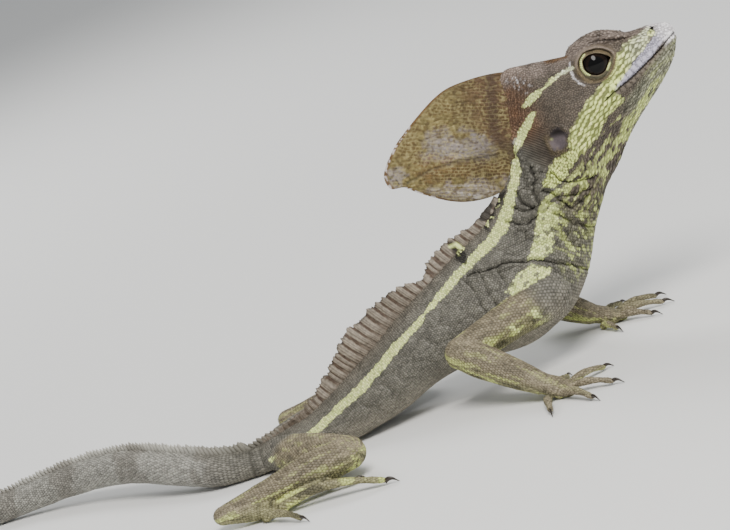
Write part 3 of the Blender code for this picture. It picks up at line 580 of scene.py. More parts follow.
def paws():
    """Each hand and foot: name, wrist, palm's end and sizes, then root, heading and sizes of its digits."""
    out = []
    kinds = (("hand", ARM, HAND_TURN, PALM, FINGERS), ("foot", LEG, FOOT_TURN, SOLE, TOES))
    for kind, joints, turns, palm, digits in kinds:
        for side, sign in SIDES:
            length, half, deep = palm
            heading = math.radians(turns[side])
            ahead = towards(heading)
            wrist = np.array(joints[side][2])
            end = wrist * [1, 1, 0] + ahead * length + np.array([0, 0, deep * 0.8])
            across = np.array([-ahead[1], ahead[0], 0]) * sign
            rows = []
            for number, (fan, reach, thick) in enumerate(digits[side]):
                offset = half * 0.86 * (1 - 2 * number / (len(digits[side]) - 1))
                back = 0.95 if number in (0, len(digits[side]) - 1) else 0.35
                root = end - ahead * (half * back) + across * offset
                rows.append((root, heading + math.radians(fan) * sign, reach, thick))
            out.append((f"{kind}_{side}", wrist, end, palm, rows))
    return out


def palm_rings(name, wrist, end, palm, sides, steps):
    """Rings of the palm or sole from the wrist or ankle to the digits' roots."""
    last = (FOREARM if name.startswith("hand") else SHANK)[-1]
    swell = [(0.0, last[1] * WRIST, last[2] * WRIST)]
    swell += [(share, palm[1] * wide, palm[2] * thick) for share, wide, thick in PALM_SWELL]
    return segment_rings(wrist, end, swell, sides, steps)


def limb_lengths():
    """Each length of each limb as name, start, end and swell."""
    out = []
    kinds = ((ARM, UPPER_ARM, FOREARM, "upper_arm", "forearm"), (LEG, THIGH, SHANK, "thigh", "shank"))
    for joints, upper, lower, first, second in kinds:
        for side, _ in SIDES:
            root, middle, end = joints[side]
            out += [(f"{first}_{side}", root, middle, upper), (f"{second}_{side}", middle, end, lower)]
    return out


# Patterns worked out for many points at once.


def scramble(i, j, k):
    """A whole number that looks random for each cell of a grid."""
    mixed = i * 73856093 ^ j * 19349663 ^ k
    return (mixed ^ (mixed >> 13)) * 1274126177 & 0x7FFFFFFF


def noise(points, size, seed=0):
    """Smooth random values from 0 to 1 at points, in lumps of this size."""
    q = np.asarray(points, float) / size + 31.7 * (seed + 1)
    cell = np.floor(q).astype(np.int64)
    f = q - cell
    f = f * f * (3 - 2 * f)
    total = np.zeros(len(q))
    for dx in (0, 1):
        for dy in (0, 1):
            for dz in (0, 1):
                h = scramble(cell[:, 0] + dx, cell[:, 1] + dy, (cell[:, 2] + dz) * 83492791)
                h = (h ^ (h >> 15)) & 0xFFFF
                weight = np.prod([f[:, k] if d else 1 - f[:, k] for k, d in enumerate((dx, dy, dz))], axis=0)
                total += weight * h / 65535.0
    return total


def cells(u, v, size, seed=0):
    """Small polygons on a plane: distance to the nearest border in units of size, and each one's number."""
    u, v = u / size, v / size
    iu, iv = np.floor(u).astype(np.int64), np.floor(v).astype(np.int64)
    first, second, tag = np.full(len(u), 9.0), np.full(len(u), 9.0), np.zeros(len(u))
    for du in (-1, 0, 1):
        for dv in (-1, 0, 1):
            h = scramble(iu + du, iv + dv, seed * 7919 + 17)
            a, b, c = (h & 1023) / 1023, (h >> 10 & 1023) / 1023, (h >> 20 & 1023) / 1023
            dist = np.hypot(iu + du + 0.5 + 0.7 * (a - 0.5) - u, iv + dv + 0.5 + 0.7 * (b - 0.5) - v)
            nearer = dist < first
            second = np.where(nearer, first, np.minimum(second, dist))
            tag = np.where(nearer, c, tag)
            first = np.where(nearer, dist, first)
    return second - first, tag


def from_line(x, h, line):
    """Distance of points in the side view from a line, and the line's own half width beside each."""
    line = np.array(line, float)
    best, width = np.full(len(x), 1e9), np.zeros(len(x))
    for a, b in zip(line[:-1], line[1:]):
        d = b[:2] - a[:2]
        t = np.clip(((x - a[0]) * d[0] + (h - a[1]) * d[1]) / (d @ d), 0, 1)
        dist = np.hypot(x - a[0] - d[0] * t, h - a[1] - d[1] * t)
        closer = dist < best
        best = np.where(closer, dist, best)
        if line.shape[1] > 2:
            width = np.where(closer, a[2] + (b[2] - a[2]) * t, width)
    return best, width


def height_at(x, line):
    """Height of a line in the side view at these x."""
    return np.interp(x, *np.array(line, float).T)


def smooth(value, low, high):
    """0 below low, 1 above high and an even curve between."""
    t = np.clip((value - low) / (high - low), 0, 1)
    return t * t * (3 - 2 * t)


def fade(value, low, high):
    """1 below low, 0 above high and an even curve between."""
    return 1 - smooth(value, low, high)


def hump(d, wide, at=0.0):
    """A bell of this width, 1 where d is at its middle."""
    return np.exp(-(((d - at) / wide) ** 2))


def round_table(angle, table):
    """A value for each angle in degrees, from a table of angles and values that closes on itself."""
    at, value = np.array(table, float).T
    return np.interp(angle, at, value, period=360)


def inside(x, h, outline, soft=0.2, wobble=0.0):
    """How far places in the side view lie inside an outline, from 0 outside to 1 inside."""
    outline = np.array(outline, float)
    near = from_line(x, h, np.vstack([outline, outline[:1]]))[0]
    odd = np.zeros(len(x), bool)
    for a, b in zip(outline, np.roll(outline, -1, axis=0)):
        spans = (a[1] > h) != (b[1] > h)
        odd ^= spans & (x < a[0] + (h - a[1]) / (b[1] - a[1] + 1e-12) * (b[0] - a[0]))
    return smooth(np.where(odd, near, -near) + wobble, -soft, soft)


def side_view(points):
    """Where points are seen in the side view: x, and the height that reads there on the midline."""
    y, z = -abs(points[:, 1]), points[:, 2] - AIM_HEIGHT
    near = AWAY / (AWAY + y * math.cos(SIGHT) - z * math.sin(SIGHT))
    return points[:, 0] * near, AIM_HEIGHT + (y * SLOPE + z) * near


def sight_line(h):
    """For the right side: y and z of the viewer, and of the spot on the midline that reads as this height."""
    v = (h - AIM_HEIGHT) * math.cos(SIGHT)
    viewer = -AWAY * math.cos(SIGHT), AIM_HEIGHT + AWAY * math.sin(SIGHT)
    return *viewer, math.sin(SIGHT) * v, AIM_HEIGHT + math.cos(SIGHT) * v


def at_depth(x, h, y, sign):
    """The points seen at places in the side view that stand y out from the midline, on this sign's side."""
    eye_y, eye_z, through_y, through_z = sight_line(h)
    share = (-y - eye_y) / (through_y - eye_y)
    return np.stack([x * share, sign * y, eye_z + (through_z - eye_z) * share], -1)


def eye_seen():
    """Where the middle of the eye's opening is seen in the side view."""
    x, h = side_view(np.array([[EYE[0], EYE_Y + 3.2, EYE[1]]]))
    return x[0], h[0]


def eye_polar(x, h):
    """Distance and angle in degrees of places in the side view from the middle of the eye's opening."""
    middle = eye_seen()
    return np.hypot(x - middle[0], h - middle[1]), np.degrees(np.arctan2(h - middle[1], x - middle[0])) % 360


def on_lids(p, margin=0.0):
    """Whether points of the head lie under the lids, with a margin in millimetres."""
    reach, angle = eye_polar(*side_view(p))
    near_eye = (p[:, 0] > 58) & (p[:, 2] > 58) & (abs(p[:, 1]) > 2.5)
    return (reach < round_table(angle, LID_REACH) - margin) & near_eye


def ear_reach(x, h):
    """Distance of places in the side view from the ear's middle, in units of its half width."""
    dx, dh = x - EAR[0], h - EAR[1]
    along, across = dx * 0.36 + dh * 0.93, dx * 0.93 - dh * 0.36
    return np.hypot(across / EAR_HALF[0], along / EAR_HALF[1])


def brow_groove(p, x, h):
    """Distance from the groove under the brow, how near points are to it, and which lie above it."""
    dist = from_line(x, h, BROW_GROOVE)[0]
    outer = abs(p[:, 1]) - np.interp(p[:, 0], *np.array(BROW)[:, :2].T)
    near = smooth(outer, -0.9, -0.2) * (x > 63) * (x < 84)
    return dist, near, h > height_at(x, BROW_GROOVE)


def below_jaw(x, h, low, high):
    """How far places in the side view lie below the jaw's line, on the chin and throat, from 0 to 1."""
    return fade(h - (0.66 * x + 6.5), low, high) * smooth(x + 0.4 * h, 61, 66)


def bare(x, h):
    """Where the head carries no scales, in the side view: in the ear and on the ridged skin before it."""
    return np.maximum(fade(ear_reach(x, h), 0.95, 1.05), inside(x, h, CORDUROY, 0.3))


def ridges(p, x, h):
    """The fine parallel ridges of the bare skin before the ear, from -1 in a furrow to 1 on a ridge."""
    wave = (0.669 * x + 0.743 * h) * 2 * math.pi / 0.55 + 2.2 * noise(p, 2.6, 55)
    return inside(x, h, CORDUROY, 0.7) * np.cos(wave)


def folds(p, x, h):
    """The neck's and flank's loose skin: how far it moves out, and how deep in a fold each point lies, which
    sets the painted shade in the folds.
    """
    wobble = noise(p, 1.7, 22) - 0.5, noise(p, 1.7, 23) - 0.5
    wx, wh = x + 0.9 * wobble[0], h + 0.9 * wobble[1]
    move, deep = np.zeros(len(p)), np.zeros(len(p))
    kinds = ((NECK_FOLDS, 0.55, 0.34), (FLANK_FOLDS, 0.3, 0.3), ((SHOULDER_CREASE, JAW_FOLD), 0.6, 0.32))
    for lines, depth, wide in kinds:
        for line in lines:
            d = from_line(wx, wh, line)[0]
            crease = hump(d, wide)
            move += -depth * crease + 0.4 * depth * hump(d, 1.8 * wide, 3.2 * wide)
            deep = np.maximum(deep, crease * depth / 0.6)
    zone = inside(x, h, NECK_ZONE, 1.6)
    border, _ = cells(wx * 0.8 + wh * 0.4, wh - wx * 0.3, 2.7, 9)
    pillow = smooth(border, 0.0, 0.55)
    move += zone * 0.5 * (pillow - 0.6)
    deep = np.maximum(deep, zone * fade(border, 0.0, 0.22) * 0.8)
    deep = np.maximum(deep, zone * 0.14)
    zone = inside(x, h, FLANK_ZONE, 2.5)
    border, _ = cells(wx * 0.5 + wh * 0.45, wh * 0.75 - wx * 0.35, 3.6, 10)
    move += zone * 0.24 * (smooth(border, 0.0, 0.4) - 0.6)
    deep = np.maximum(deep, zone * fade(border, 0.0, 0.13) * 0.42)
    return move, deep


def over(base, tint, weight):
    """A tint laid over other colours, as much as its weight at each point."""
    return base * (1 - weight[:, None]) + tint * weight[:, None]


def lay(base, name, weight, tone=1.0):
    """One of the user's colours laid over others, lighter or darker by a tone or by one for each point."""
    return over(base, colour(name) * (tone[:, None] if np.ndim(tone) == 1 else tone), weight)


def band(x, h, line, soft, wobble):
    """How much a marking along a line covers places, from 0 to 1."""
    dist, width = from_line(x, h, line)
    return fade(dist + wobble, width - soft, width + soft) * (width > 0)


def body_paint(p):
    """Colours of the trunk, neck and head at points."""
    x, h = side_view(p)
    z = p[:, 2]
    fine, small, broad = noise(p, 0.8, 1), noise(p, 2.2, 2), noise(p, 7.0, 3)
    tiny = noise(p, 0.4, 4)
    wobble = 0.5 * (fine - 0.5)
    out = np.tile(colour("flank"), (len(p), 1))
    above = band(x, h - 6.0, STRIPE_BACK, 4.0, 0.0) * smooth(x, -60, -40) * fade(x, 42, 50)
    out = lay(out, "back", above * 0.9)
    under = fade(h - height_at(x, BELLY_LINE), -3.0, 5.0)
    out = lay(out, "belly", under * 0.7 * fade(x, 46, 54))
    head = smooth(x + 0.55 * (z - 45), 47, 53)
    out = lay(out, "temple", head * 0.95)
    rear = fade(x, 47, 55) * smooth(h, 51, 56)
    out = lay(out, "casque", rear * (0.65 + 0.35 * small))
    crown = smooth(h - height_at(x, CROWN_LINE), -0.6, 1.4) * head
    out = lay(out, "crown", crown * 0.8 * (0.6 + 0.5 * small))
    out = lay(out, "crest_rust", band(x, h, CROWN_RUST, 0.4, 1.6 * wobble) * 0.85)
    out *= (0.42 + 1.16 * (0.4 * fine + 0.35 * small + 0.25 * broad))[:, None]
    out *= (1 - 0.08 * inside(x, h, NECK_ZONE, 3.0))[:, None]
    # Painted glints: pale specks as highlights on the crown's small scales.
    crown_glints = inside(x, h, CROWN_GLINT_PATCH, 1.0)
    out = lay(out, "snout", crown_glints * smooth(tiny, 0.62, 0.72) * 0.55)
    # Lower jaw and throat: streaks along the jaw, yellow on grey brown.
    along, across = x * 0.83 + h * 0.56, h * 0.83 - x * 0.56
    streak = noise(np.stack([along / 2.6, across / 0.55, abs(p[:, 1]) * 0.3], 1), 1.0, 16)
    throat = below_jaw(x, h, -2.2, 0.2)
    chin = throat * smooth(x, 68, 74)
    out = lay(out, "chin", chin * 0.85, 0.75 + 0.5 * fine)
    out = lay(out, "temple", throat * fade(x, 70, 76) * 0.7, 1.2)
    out = lay(out, "jaw", throat * smooth(streak, 0.56, 0.68) * (1 - 0.7 * smooth(x, 76, 84)) * 0.62)
    out = lay(out, "dark", throat * fade(streak, 0.22, 0.34) * 0.55)
    for number, line in enumerate(THROAT_LINES):
        broken = smooth(noise(p, 1.1, 11 + number), 0.25, 0.42)
        out = lay(out, "jaw", band(x, h, line, 0.25, wobble) * broken * 0.8)
    # Yellow green of the jaw, lilac of the lips and snout.
    jaw = inside(x, h, JAW_PATCH, 0.3, wobble * 1.5)
    thin = 1 - 0.45 * smooth(x, 74, 82) * fade(small, 0.3, 0.6)
    out = lay(out, "jaw", jaw * thin, 0.82 + 0.36 * tiny)
    out = lay(out, "snout", jaw * smooth(x, 73, 81) * 0.42, 0.92)
    out = lay(out, "lip", band(x, h, LIP_BAND, 0.3, wobble * 0.3) * 0.92, 0.9 + 0.2 * fine)
    tip = smooth(x + 0.5 * (h - 66), 83.5, 87.5) * smooth(h - (0.5 * x + 19.5), -0.5, 0.6)
    out = lay(out, "snout", tip * 0.93, 0.94 + 0.2 * fine)
    orbit = band(x, h, ORBIT_LINE, 0.12, 0.3 * wobble)
    out = lay(out, "snout", orbit * 0.75, 0.9)
    # Brow: a painted highlight on the ridge above the groove, and painted shade in the groove.
    groove, near, above = brow_groove(p, x, h)
    out = lay(out, "crown", near * above * hump(groove, 0.35, 0.7) * 0.7, 1.15)
    out = lay(out, "web_and_shade", near * fade(groove, 0.1, 0.42) * 0.8, 0.55)
    # Painted shade in the furrows of the ridged skin before the ear, a little painted light on its ridges,
    # and the patch a little darker.
    out *= (1 + 0.4 * np.minimum(ridges(p, x, h), 0.3) - 0.1 * inside(x, h, CORDUROY, 0.7))[:, None]
    # Cream stripes, crossed by fine rows and stepped at their edges.
    rows = 0.5 + 0.5 * np.sin((x * 0.75 + h * 0.66) * 2 * math.pi / 0.9)
    step = 0.34 * (noise(p, 0.62, 24) - 0.5) + 0.6 * (noise(p, 1.5, 25) - 0.5)
    for line in (STRIPE_HEAD, STRIPE_BACK):
        patch = band(x, h, line, 0.09, step)
        out = lay(out, "stripe", patch * 0.97, 0.66 + 0.46 * rows + 0.12 * fine)
    for outline in (NECK_PATCH, SHOULDER_PATCH):
        patch = inside(x, h, outline, 0.12, 1.1 * step) * (1 - 0.85 * smooth(noise(p, 0.9, 21), 0.68, 0.76))
        out = lay(out, "stripe", patch * 0.97, 0.76 + 0.2 * tiny + 0.26 * rows)
    # Dark marks of the nape and shoulder, and the chest's mottle.
    nape = band(x, h, NAPE_MARK, 0.35, 1.4 * (small - 0.5) + step)
    spot = band(x, h, BACK_MARK, 0.3, small - 0.5)
    hole = fade(noise(p, 0.8, 5), 0.66, 0.74)
    out = lay(out, "dark", np.maximum(nape * hole, spot) * 0.93)
    out = lay(out, "stripe", nape * (1 - hole) * 0.8)
    out = lay(out, "stripe", band(x, h, BACK_CREAM, 0.25, fine - 0.5) * smooth(tiny, 0.3, 0.42) * 0.9)
    chest = smooth(x, 42, 48) * fade(h, 33, 39) * smooth(h, 15, 20)
    run, across = x * 0.5 - h * 0.86, x * 0.86 + h * 0.5
    lengthwise = noise(np.stack([run / 2.2, across / 0.6, p[:, 1] / 0.9], 1), 1.0, 8)
    out = lay(out, "arm_olive", chest * 0.2)
    out = lay(out, "jaw", chest * smooth(lengthwise, 0.56, 0.7) * 0.7, 0.85)
    out = lay(out, "dark", chest * fade(lengthwise, 0.22, 0.36) * 0.6)
    # Folds get painted shade in their depth, the mouth's line is dark, and the ear is grey violet.
    out = lay(out, "dark", folds(p, x, h)[1] * 0.5 * (1 - 0.6 * jaw))
    # Painted shade along the fold behind the casque.
    casque_fold_shade = fade(from_line(x, h, CASQUE_FOLD)[0], 0.1, 0.9)
    out = lay(out, "web_and_shade", casque_fold_shade * 0.7, 0.6)
    # Painted highlight along the rim of the casque's rolled edge.
    rim = hump(from_line(x, h, CASQUE_RIM_HIGHLIGHT)[0], 0.22)
    out = lay(out, "snout", rim * 0.55)
    out = lay(out, "snout", band(x, h, STRIPE_HEAD, 0.1, step) * smooth(x, 57.5, 61) * 0.45)
    lips = fade(from_line(x, h, MOUTH)[0], 0.04, 0.24) * (abs(p[:, 1]) > 0.8)
    out = lay(out, "dark", lips * 0.9, 0.5)
    ear = ear_reach(x, h)
    naked = inside(x, h, EAR_SURROUND, 0.7)
    out = lay(out, "lid", naked * fade(ear, 0.7, 1.0) + naked * 0.7, 1.05)
    out = lay(out, "ear", fade(ear + 0.5 * (fine - 0.5), 0.8, 1.15) * 0.9, 0.8 + 0.4 * fine)
    # Painted shadow in the ear's cup under its upper rim.
    out = lay(out, "dark", fade(ear, 0.7, 1.15) * smooth(h - EAR[1] + small, 0.2, 2.4) * 0.8)
    out = lay(out, "jaw", fade(np.hypot(x - EAR[0] + 1.5, h - EAR[1] - 0.5) + fine, 0.5, 1.3) * 0.55)
    nostril = np.hypot(x - NOSTRIL[0], h - NOSTRIL[1])
    below = fade(np.hypot(x - NOSTRIL[0] + 0.6, (h - NOSTRIL[1] + 1.0) * 1.3), 0.6, 1.1)
    out = lay(out, "jaw", below * 0.8)
    # Painted shade in the nostril's pit.
    return lay(out, "dark", fade(nostril, 0.42, 0.75) * (abs(p[:, 1]) > 1), 0.4)


def limb_frame(p):
    """For each point, the nearest length of limb: its number, the distance along it and the turn round it."""
    best = np.full(len(p), 1e9)
    number, along, turn = np.zeros(len(p), int), np.zeros(len(p)), np.zeros(len(p))
    for k, (_, start, end, _) in enumerate(limb_lengths()):
        reach, ahead, side, up = axes(np.array(start), np.array(end))
        t = np.clip((p - start) @ ahead, 0, reach)
        off = p - start - ahead * t[:, None]
        dist = np.linalg.norm(off, axis=1)
        near = dist < best
        best = np.where(near, dist, best)
        number = np.where(near, k, number)
        along = np.where(near, t, along)
        turn = np.where(near, np.arctan2(off @ side, off @ up), turn)
    return number, along, turn


def limb_paint(p):
    """Colours of the arms, legs, hands and feet at points."""
    fine, small, broad = noise(p, 0.8, 31), noise(p, 2.0, 32), noise(p, 6.0, 33)
    number, along, turn = limb_frame(p)
    mottle = 0.72 + 0.56 * (0.4 * fine + 0.35 * small + 0.25 * broad)
    out = np.tile(colour("arm"), (len(p), 1)) * mottle[:, None]
    under = smooth(abs(turn), 1.2, 2.0)
    out = lay(out, "arm_olive", under * 0.75, 0.8 + 0.4 * fine)
    lines = noise(np.stack([along / 3.4, turn * 3.6 / 0.7, number * 9.0], 1), 1.0, 36)
    cream = colour("stripe") * np.array([0.8, 0.8, 0.62])
    out = over(out, cream, smooth(lines, 0.62, 0.74) * (0.2 + 0.45 * under))
    out = lay(out, "dark", fade(lines, 0.2, 0.34) * (0.3 + 0.35 * under))
    x, h = side_view(p)
    holes = smooth(noise(p, 0.9, 21), 0.66, 0.76)
    for outline in (SHOULDER_PATCH, *ARM_PATCHES):
        patch = inside(x, h, outline, 0.15, 0.4 * (fine - 0.5)) * (1 - 0.8 * holes)
        out = lay(out, "stripe", patch * 0.95, 0.84 + 0.3 * fine)
    roots = [np.array(joints[side][0]) for joints in (ARM, LEG) for side, _ in SIDES]
    from_root = np.min([np.linalg.norm(p - root, axis=1) for root in roots], axis=0)
    out = over(out, body_paint(p), fade(from_root, 5.5, 9.5))
    return lay(out, "dark", smooth(noise(p, 1.1, 35), 0.72, 0.84) * 0.3)


def tail_paint(p):
    """Colours of the tail at points, with faint darker bars."""
    fine, small = noise(p, 0.9, 41), noise(p, 3.0, 42)
    bars = 0.5 + 0.5 * np.sin(p[:, 0] * 2 * np.pi / 19.0 + 3 * (small - 0.5))
    out = np.tile(colour("tail"), (len(p), 1)) * (0.74 + 0.4 * fine + 0.12 * small)[:, None]
    out = lay(out, "back", smooth(bars, 0.6, 0.95) * 0.4, 0.75)
    return over(out, body_paint(p), smooth(p[:, 0], -58, -44))


PAINTERS = {"body": body_paint, "tail": tail_paint, "limb": limb_paint}


# Objects and materials.

# The floor's half width in metres and its colour, then the sky's colour and strength.
FLOOR_HALF, FLOOR_PALE = 6.0, (0.80, 0.80, 0.78, 1.0)
SKY, SKY_STRENGTH = (0.93, 0.96, 1.0, 1.0), 0.46
# How far the fine noise darkens and lightens every paint.
SPECKLE = (0.72, 1.28)


def origin():
    """Where the tables' zero lies in the frame: the right eye's solid tells."""
    low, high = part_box("eye_right")
    return (np.array(low) + np.array(high)) / 2 - np.array([EYE[0], -EYE_Y, EYE[1]]) * MM


def place(points):
    """Points of the tables moved into the frame, in metres."""
    return np.asarray(points, float) * MM + origin()


def fast_mesh(name, points, triangles):
    """A mesh from arrays of points and triangles."""
    mesh = bpy.data.meshes.new(name)
    mesh.vertices.add(len(points))
    mesh.vertices.foreach_set("co", np.asarray(points, np.float32).ravel())
    mesh.loops.add(len(triangles) * 3)
    mesh.loops.foreach_set("vertex_index", np.asarray(triangles, np.int32).ravel())
    mesh.polygons.add(len(triangles))
    mesh.polygons.foreach_set("loop_start", np.arange(0, len(triangles) * 3, 3, dtype=np.int32))
    mesh.update(calc_edges=True)
    mesh.shade_smooth()
    return mesh


def add_paint(mesh, colours):
    """Gives a mesh a colour at each of its points."""
    layer = mesh.attributes.new("paint", "FLOAT_COLOR", "POINT")
    rgba = np.ones((len(colours), 4), np.float32)
    rgba[:, :3] = np.clip(colours, 0, 1)
    layer.data.foreach_set("color", rgba.ravel())


def add_patches(mesh, patches):
    """The map for baking: one place for each corner, from a place for each point."""
    index = np.empty(len(mesh.loops), np.int32)
    mesh.loops.foreach_get("vertex_index", index)
    layer = mesh.uv_layers.new(name="OFBake")
    layer.data.foreach_set("uv", np.asarray(patches, np.float32)[index].ravel())


def add_piece(name, mesh, material, slot, *nodes):
    """Links a mesh as a piece of the animal, riding on its one body."""
    piece = bpy.data.objects.new(name, mesh)
    bpy.context.scene.collection.objects.link(piece)
    mesh.materials.append(material)
    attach(piece, "root")
    if nodes:
        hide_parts(*nodes)
    return piece


def make_piece(name, points, triangles, paint, patches, material, slot, *nodes):
    """A piece from points in the tables' frame, with its paint and its map for baking."""
    mesh = fast_mesh(name, place(points), triangles)
    add_paint(mesh, paint)
    add_patches(mesh, patches)
    return add_piece(name, mesh, material, slot, *nodes)


def spread(links, value, node, low, high, target):
    """Links a value from 0 to 1 to an input, spread out between low and high."""
    node.inputs["To Min"].default_value = low
    node.inputs["To Max"].default_value = high
    links.new(value, node.inputs["Value"])
    links.new(node.outputs["Result"], target)


def painted(name, rough, grain, bump, specular=0.4):
    """A material coloured by the mesh's paint, with fine noise in its colour, gloss and relief."""
    found = bpy.data.materials.get(name)
    if found:
        return found
    made = bpy.data.materials.new(name)
    made.use_nodes = True
    nodes, links = made.node_tree.nodes, made.node_tree.links
    shader = nodes["Principled BSDF"]
    shader.inputs["Specular IOR Level"].default_value = specular
    paint = nodes.new("ShaderNodeAttribute")
    paint.attribute_name = "paint"
    place_at = nodes.new("ShaderNodeTexCoord")
    speckle = nodes.new("ShaderNodeTexNoise")
    speckle.inputs["Scale"].default_value = 1.0 / (grain * MM)
    speckle.inputs["Detail"].default_value = 4.0
    links.new(place_at.outputs["Object"], speckle.inputs["Vector"])
    mix = nodes.new("ShaderNodeVectorMath")
    mix.operation = "MULTIPLY"
    links.new(paint.outputs["Color"], mix.inputs[0])
    links.new(mix.outputs["Vector"], shader.inputs["Base Color"])
    spread(links, speckle.outputs["Fac"], nodes.new("ShaderNodeMapRange"), *SPECKLE, mix.inputs[1])
    spread(links, speckle.outputs["Fac"], nodes.new("ShaderNodeMapRange"), *rough, shader.inputs["Roughness"])
    relief = nodes.new("ShaderNodeBump")
    relief.inputs["Strength"].default_value = bump
    relief.inputs["Distance"].default_value = grain * MM * 0.5
    links.new(speckle.outputs["Fac"], relief.inputs["Height"])
    links.new(relief.outputs["Normal"], shader.inputs["Normal"])
    return made


def scale_material():
    """Horn of the scales."""
    return painted("scale horn", (0.42, 0.72), 0.35, 0.25, 0.45)


def skin_material():
    """Dull skin that shows between the scales."""
    return painted("skin between scales", (0.6, 0.85), 0.5, 0.5, 0.3)


# The skin.


class Surface:
    """The finished skin as arrays, for laying scales on it."""

    def __init__(self, points, normals, triangles, corners, owners):
        """Points with normals and owning parts, triangles, and their corners' places on the unwrap."""
        self.points, self.normals, self.triangles = points, normals, triangles
        self.corners, self.owners = corners, owners
        self.tree = BVHTree.FromPolygons(points.tolist(), triangles.tolist())

    def nearest(self, spots):
        """For each spot: the skin's nearest point, its smooth normal, its part and its place on the map."""
        found = [self.tree.find_nearest(s) for s in spots.tolist()]
        index = np.array([f[2] for f in found])
        at = np.array([tuple(f[0]) for f in found])
        tri = self.triangles[index]
        share = self.shares(at, tri)
        normal = units((self.normals[tri] * share[:, :, None]).sum(1))
        patch = (self.corners[index] * share[:, :, None]).sum(1)
        return at, normal, self.owners[tri[:, 0]], patch

    def shares(self, at, tri):
        """How much each corner of a triangle counts at a point in it."""
        a, b, c = (self.points[tri[:, k]] for k in range(3))
        whole = np.linalg.norm(np.cross(b - a, c - a), axis=1) + 1e-12
        parts = [np.linalg.norm(np.cross(q - at, r - at), axis=1) for q, r in ((b, c), (c, a), (a, b))]
        share = np.stack(parts, 1) / whole[:, None]
        return share / share.sum(1)[:, None]


def seen_on(tree, x, h, sign):
    """Where the ray through a place in the side view first meets a tree, as a point and normal, or None."""
    eye_y, eye_z, through_y, through_z = sight_line(h)
    start = Vector((0, -sign * eye_y, eye_z))
    through = Vector((x, -sign * through_y, through_z))
    hit = tree.ray_cast(start, (through - start).normalized())
    return (np.array(hit[0]), np.array(hit[1])) if hit[0] is not None else None


# The finished skin and the head's skin before its sockets are sunk, for the pieces made after it.
KEPT = {}
# Painted shade on the skin between the scales: the share of its paint that shows there.
SHADE_BETWEEN_SCALES = 0.52


def flesh():
    """The lofts that make up the body, as (kind, points, faces)."""
    parts = [("body", *loft(body_rings(*BODY_GRID)))]
    parts.append(("tail", *loft(rump_and_tail())))
    for _, start, end, swell in limb_lengths():
        parts.append(("limb", *loft(segment_rings(start, end, swell, 24, 5))))
    for name, wrist, end, palm, digits in paws():
        parts.append(("limb", *loft(palm_rings(name, wrist, end, palm, 20, 4))))
        for root, heading, reach, thick in digits:
            parts.append(("limb", *loft(digit_rings(root, heading, reach, thick * SKIN_OVER))))
    out, up = BROW_LIFT
    for sign in (-1, 1):
        brow = spline([(x, sign * (y - BROW_THICK), z) for x, y, z in BROW], 5)
        swell = np.sin(np.linspace(0, math.pi, len(brow)))
        brow = brow + np.stack([0 * swell, sign * out * swell, up * swell - 0.6 * (1 - swell) ** 2], 1)
        parts.append(("body", *loft(bar_rings(brow, BROW_THICK, 12))))
        for (x, y, z), radii in (CHEEK, SOCKET):
            parts.append(("body", *ball((x, sign * y, z), radii)))
    return parts


def rump_and_tail():
    """The tail's rings with one more inside the rump, so that it grows out of the body."""
    rings, _ = tail_rings(*TAIL_GRID)
    return np.concatenate([[rings[0] + np.array([6.0, 0, 0.3])], rings])


def bar_rings(path, radius, sides):
    """Rings of a round bar along a path, drawn in at its ends."""
    ahead = np.gradient(path, axis=0)
    taper = 0.25 + 0.75 * np.sin(np.linspace(0, math.pi, len(path))) ** 0.7
    rings = []
    for p, t, k in zip(path, ahead, taper):
        t = t / np.linalg.norm(t)
        side = np.cross(t, [0.1, 0.2, 1.0])
        side /= np.linalg.norm(side)
        rings.append(oval(p, side * radius * k, np.cross(side, t) * radius * k, sides, 2.0))
    return np.array(rings)


def ball(centre, radii, rows=14, sides=24):
    """Points and faces of an egg about the Y axis."""
    rings = []
    for t in np.linspace(0.06, 0.94, rows):
        a = t * math.pi
        middle = np.array(centre) + np.array([0, -radii[1] * math.cos(a), 0])
        side, up = np.array([radii[0] * math.sin(a), 0, 0]), np.array([0, 0, radii[2] * math.sin(a)])
        rings.append(oval(middle, side, up, sides, 2.0))
    return loft(np.array(rings))


